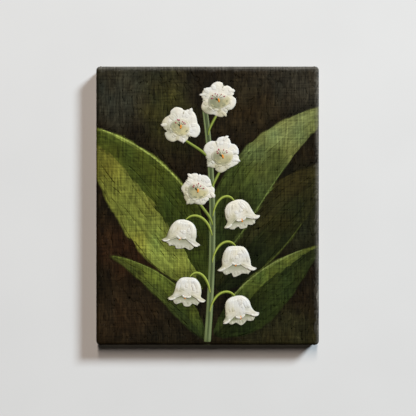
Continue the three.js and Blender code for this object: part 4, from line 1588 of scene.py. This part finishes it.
@dataclass
class Room:
    """A pale wall, a pale floor far below, the camera and the lights. Lengths here are metres."""

    face: Face
    lens: float = 100.0
    sensor: float = 36.0
    field: float = 0.3787
    aim: Point = (0.00040, -0.00212)
    key_from: tuple[float, float, float] = (19.2, -21.0, 18.2)
    key_distance: float = 6.0
    key_size: float = 1.5
    key_power: float = 380.0
    fill_power: float = 221.0
    fill_at: tuple[float, float, float] = (0.0, -5.0, 3.1)
    fill_size: Point = (0.4, 3.6)
    back_power: float = 10.0
    wall_gap: float = 0.0005
    floor_drop: float = 0.9
    floor_reach: float = 30.0

    def light(
        self,
        name: str,
        place: Vector,
        target: Vector,
        power: float,
        colour: tuple[float, ...],
        size: Point,
        shape: str = "RECTANGLE",
    ) -> None:
        """Adds an area light.

        Args:
            name: its name.
            place: where it is.
            target: what it faces.
            power: its watts.
            colour: its linear colour.
            size: its width and height.
            shape: DISK or RECTANGLE.
        """
        lamp = bpy.data.lights.new(name, "AREA")
        lamp.shape = shape
        lamp.size, lamp.size_y = size
        lamp.energy = power
        lamp.color = colour
        light = bpy.data.objects.new(name, lamp)
        light.location = place
        light.rotation_euler = (target - place).to_track_quat("-Z", "Y").to_euler()
        bpy.context.scene.collection.objects.link(light)

    def plane(self, name: str, corners: Array, finish: bpy.types.Material) -> bpy.types.Object:
        """Adds a flat stage piece from its four corners."""
        mesh = bpy.data.meshes.new(name)
        mesh.from_pydata(corners.tolist(), [], [(0, 1, 2, 3)])
        mesh.materials.append(finish)
        piece = bpy.data.objects.new(name, mesh)
        bpy.context.scene.collection.objects.link(piece)
        return piece

    def wall(self) -> None:
        """Builds the wall, which shows and catches shadows only on its front, and the floor."""
        y, low, wide, high = self.wall_gap, self.face.centre_z * MM - self.floor_drop, 4.0, 3.0
        corners = np.array([(-wide, y, low), (wide, y, low), (wide, y, high), (-wide, y, high)])
        finish = WALL_PAINT.build()
        tree = finish.node_tree
        shader = next(each for each in tree.nodes if each.type == "BSDF_PRINCIPLED")
        output = next(each for each in tree.nodes if each.type == "OUTPUT_MATERIAL")
        back = node(tree, "ShaderNodeNewGeometry").outputs["Backfacing"]
        clear = node(tree, "ShaderNodeBsdfTransparent").outputs[0]
        one_sided = node(tree, "ShaderNodeMixShader", {0: back, 1: shader.outputs[0], 2: clear})
        tree.links.new(one_sided.outputs[0], output.inputs["Surface"])
        wall = self.plane("wall", corners, finish)
        wall.visible_shadow = wall.visible_diffuse = wall.visible_glossy = False
        wide = self.floor_reach
        corners = np.array([(-wide, -wide, low), (wide, -wide, low), (wide, wide, low), (-wide, wide, low)])
        floor = self.plane("floor", corners, WALL_PAINT.build())
        floor.visible_diffuse = floor.visible_glossy = floor.visible_shadow = False

    def world(self) -> None:
        """A dim room for the light, which looks pale where the camera sees it."""
        world = bpy.data.worlds.new("room")
        world.use_nodes = True
        bpy.context.scene.world = world
        tree = world.node_tree
        tree.nodes.clear()
        dim = node(tree, "ShaderNodeBackground", {"Color": rgba("#fff1e2"), "Strength": 0.02})
        pale = node(tree, "ShaderNodeBackground", {"Color": rgba("#e0e0e0"), "Strength": 0.9})
        seen = node(tree, "ShaderNodeLightPath").outputs["Is Camera Ray"]
        both = node(tree, "ShaderNodeMixShader", {0: seen, 1: dim.outputs[0], 2: pale.outputs[0]})
        node(tree, "ShaderNodeOutputWorld", {"Surface": both.outputs[0]})

    def camera(self) -> None:
        """Sets the camera straight in front, far enough for the front to fill its share of the view."""
        data = bpy.data.cameras.new("camera")
        data.lens, data.sensor_width = self.lens, self.sensor
        data.clip_start, data.clip_end = 0.05, 20.0
        camera = bpy.data.objects.new("camera", data)
        away = self.field * self.lens / self.sensor
        right, up = self.aim
        camera.location = (right, self.face.front * MM - away, self.face.centre_z * MM + up)
        camera.rotation_euler = (math.pi / 2.0, 0.0, 0.0)
        bpy.context.scene.collection.objects.link(camera)
        bpy.context.scene.camera = camera

    def build(self) -> None:
        """Sets the room up."""
        middle = Vector((0.0, 0.0, self.face.centre_z * MM))
        key = middle + Vector(self.key_from).normalized() * self.key_distance
        size = (self.key_size, self.key_size)
        self.light("key", key, middle, self.key_power, (0.82, 0.93, 1.0), size, "DISK")
        fill = middle + Vector(self.fill_at)
        ahead = fill + Vector((0.0, 1.0, 0.0))
        self.light("fill", fill, ahead, self.fill_power, (1.0, 0.86, 0.75), self.fill_size)
        for side in (-1.0, 1.0):
            place = middle + Vector((1.2 * side, 1.4, 0.9))
            name = f"back_{side:+.0f}"
            self.light(name, place, middle, self.back_power, (1.0, 0.97, 0.93), (0.9, 0.9))
        self.wall()
        self.world()
        self.camera()
        bpy.context.scene.view_settings.view_transform = "Standard"


# ---- The picture's design ----

LEAVES = (
    Leaf(
        "under_leaf",
        ((8.0, -78.0), (40.0, -34.0), (72.0, 14.0), (122.0, 40.0)),
        (24.0, 26.0),
        ("#1a1f0e", "#2b2b16", "#302d17", "#2a2715"),
        ("#191f0f", "#212611", "#2b2a15", "#272514"),
        rim="#42491f",
        rim_span=(0.15, 0.55),
        strokes=230,
        seed=51,
    ),
    Leaf(
        "tall_left_leaf",
        ((-4.0, -76.0), (-26.0, -28.0), (-64.0, 34.0), (-124.0, 74.0)),
        (36.0, 33.0),
        ("#5f6a31", "#828b45", "#767938", "#66682f", "#555827"),
        ("#2c3514", "#333c15", "#3c4519", "#474f1e", "#4a5220"),
        rim="#8e9a4c",
        rim_span=(0.40, 0.93),
        rim_width=2.0,
        strokes=420,
        seed=52,
    ),
    Leaf(
        "tall_right_leaf",
        ((6.0, -52.0), (22.0, 2.0), (46.0, 56.0), (124.0, 94.0)),
        (23.0, 20.0),
        ("#232c14", "#2f3818", "#485227", "#787f52", "#84895f"),
        ("#212a14", "#2c3416", "#3f4822", "#6a7046", "#757a50"),
        rim="#5f6d38",
        rim_span=(0.12, 0.58),
        rim_width=1.5,
        strokes=360,
        seed=53,
    ),
    Leaf(
        "low_left_leaf",
        ((-3.0, -122.0), (-20.0, -96.0), (-46.0, -66.0), (-88.0, -46.0)),
        (8.0, 12.0),
        ("#232a14", "#333b1c", "#4c5627", "#4a5128"),
        ("#2a3216", "#475225", "#5c682d", "#4b5326"),
        rim="#667233",
        rim_span=(0.45, 0.95),
        rim_width=1.3,
        strokes=110,
        seed=54,
    ),
    Leaf(
        "low_right_leaf",
        ((6.0, -118.0), (30.0, -92.0), (58.0, -60.0), (104.0, -36.0)),
        (13.0, 28.0),
        ("#28321a", "#3d4a20", "#59652f", "#4d5227"),
        ("#1c2310", "#273015", "#2b3417", "#262b15"),
        rim="#747f45",
        rim_on_left=True,
        rim_span=(0.25, 0.85),
        rim_width=1.6,
        strokes=260,
        seed=55,
    ),
)

PATCHES = (
    Patch("#35342e", (-78.0, 106.0), (52.0, 34.0)),
    Patch("#322f2b", (78.0, 108.0), (60.0, 26.0)),
    Patch("#3a391c", (-36.0, 88.0), (20.0, 36.0), 0.2, 0.85),
    Patch("#2a2113", (40.0, 92.0), (34.0, 26.0)),
    Patch("#342013", (-70.0, -44.0), (44.0, 18.0), -0.4, 0.8),
    Patch("#2c2015", (-80.0, -100.0), (34.0, 26.0)),
    Patch("#1f1a12", (-30.0, -112.0), (30.0, 20.0)),
    Patch("#23271a", (84.0, -8.0), (26.0, 40.0)),
    Patch("#2c2a19", (70.0, -114.0), (46.0, 20.0)),
    Patch("#1b1812", (16.0, -70.0), (22.0, 18.0)),
)

BELLS = (
    Bell(1, (9.0, 97.0), Pose.OPEN, 0.15, 1.05, 0.6),
    Bell(2, (-24.0, 73.0), Pose.OPEN, -0.25, 1.0, -0.4),
    Bell(3, (13.0, 46.0), Pose.OPEN, 0.05, 1.03, 0.2),
    Bell(4, (-9.0, 15.0), Pose.OPEN, -0.1, 1.0, 0.0),
    Bell(5, (28.0, -8.0), Pose.NODDING, 0.30, 1.02, 2.6, 0.5),
    Bell(6, (-23.0, -26.0), Pose.NODDING, -0.18, 1.04, -0.6, 1.3),
    Bell(7, (26.0, -50.0), Pose.NODDING, 0.02, 1.06, 0.4, 1.5),
    Bell(8, (-18.0, -78.0), Pose.NODDING, -0.08, 1.02, -1.2, 0.7),
    Bell(9, (28.0, -95.0), Pose.NODDING, 0.22, 1.02, 1.4, 0.1),
)


def main() -> None:
    """Builds the cloth, the paint, the finishes and the room in order."""
    logging.basicConfig(level=logging.INFO, format="%(name)s %(message)s")
    face = Face.measured()
    plan = Plan(face, "#ebebd2", "#1d160d", PATCHES, LEAVES, tuple(bell.at for bell in BELLS))
    Room(face).build()
    StretchedCloth(face, plan).build()
    CornerFolds(face, plan).build()
    Picture(face, plan, BELLS).build()
    Dressing().build()


if __name__ == "__main__":
    main()
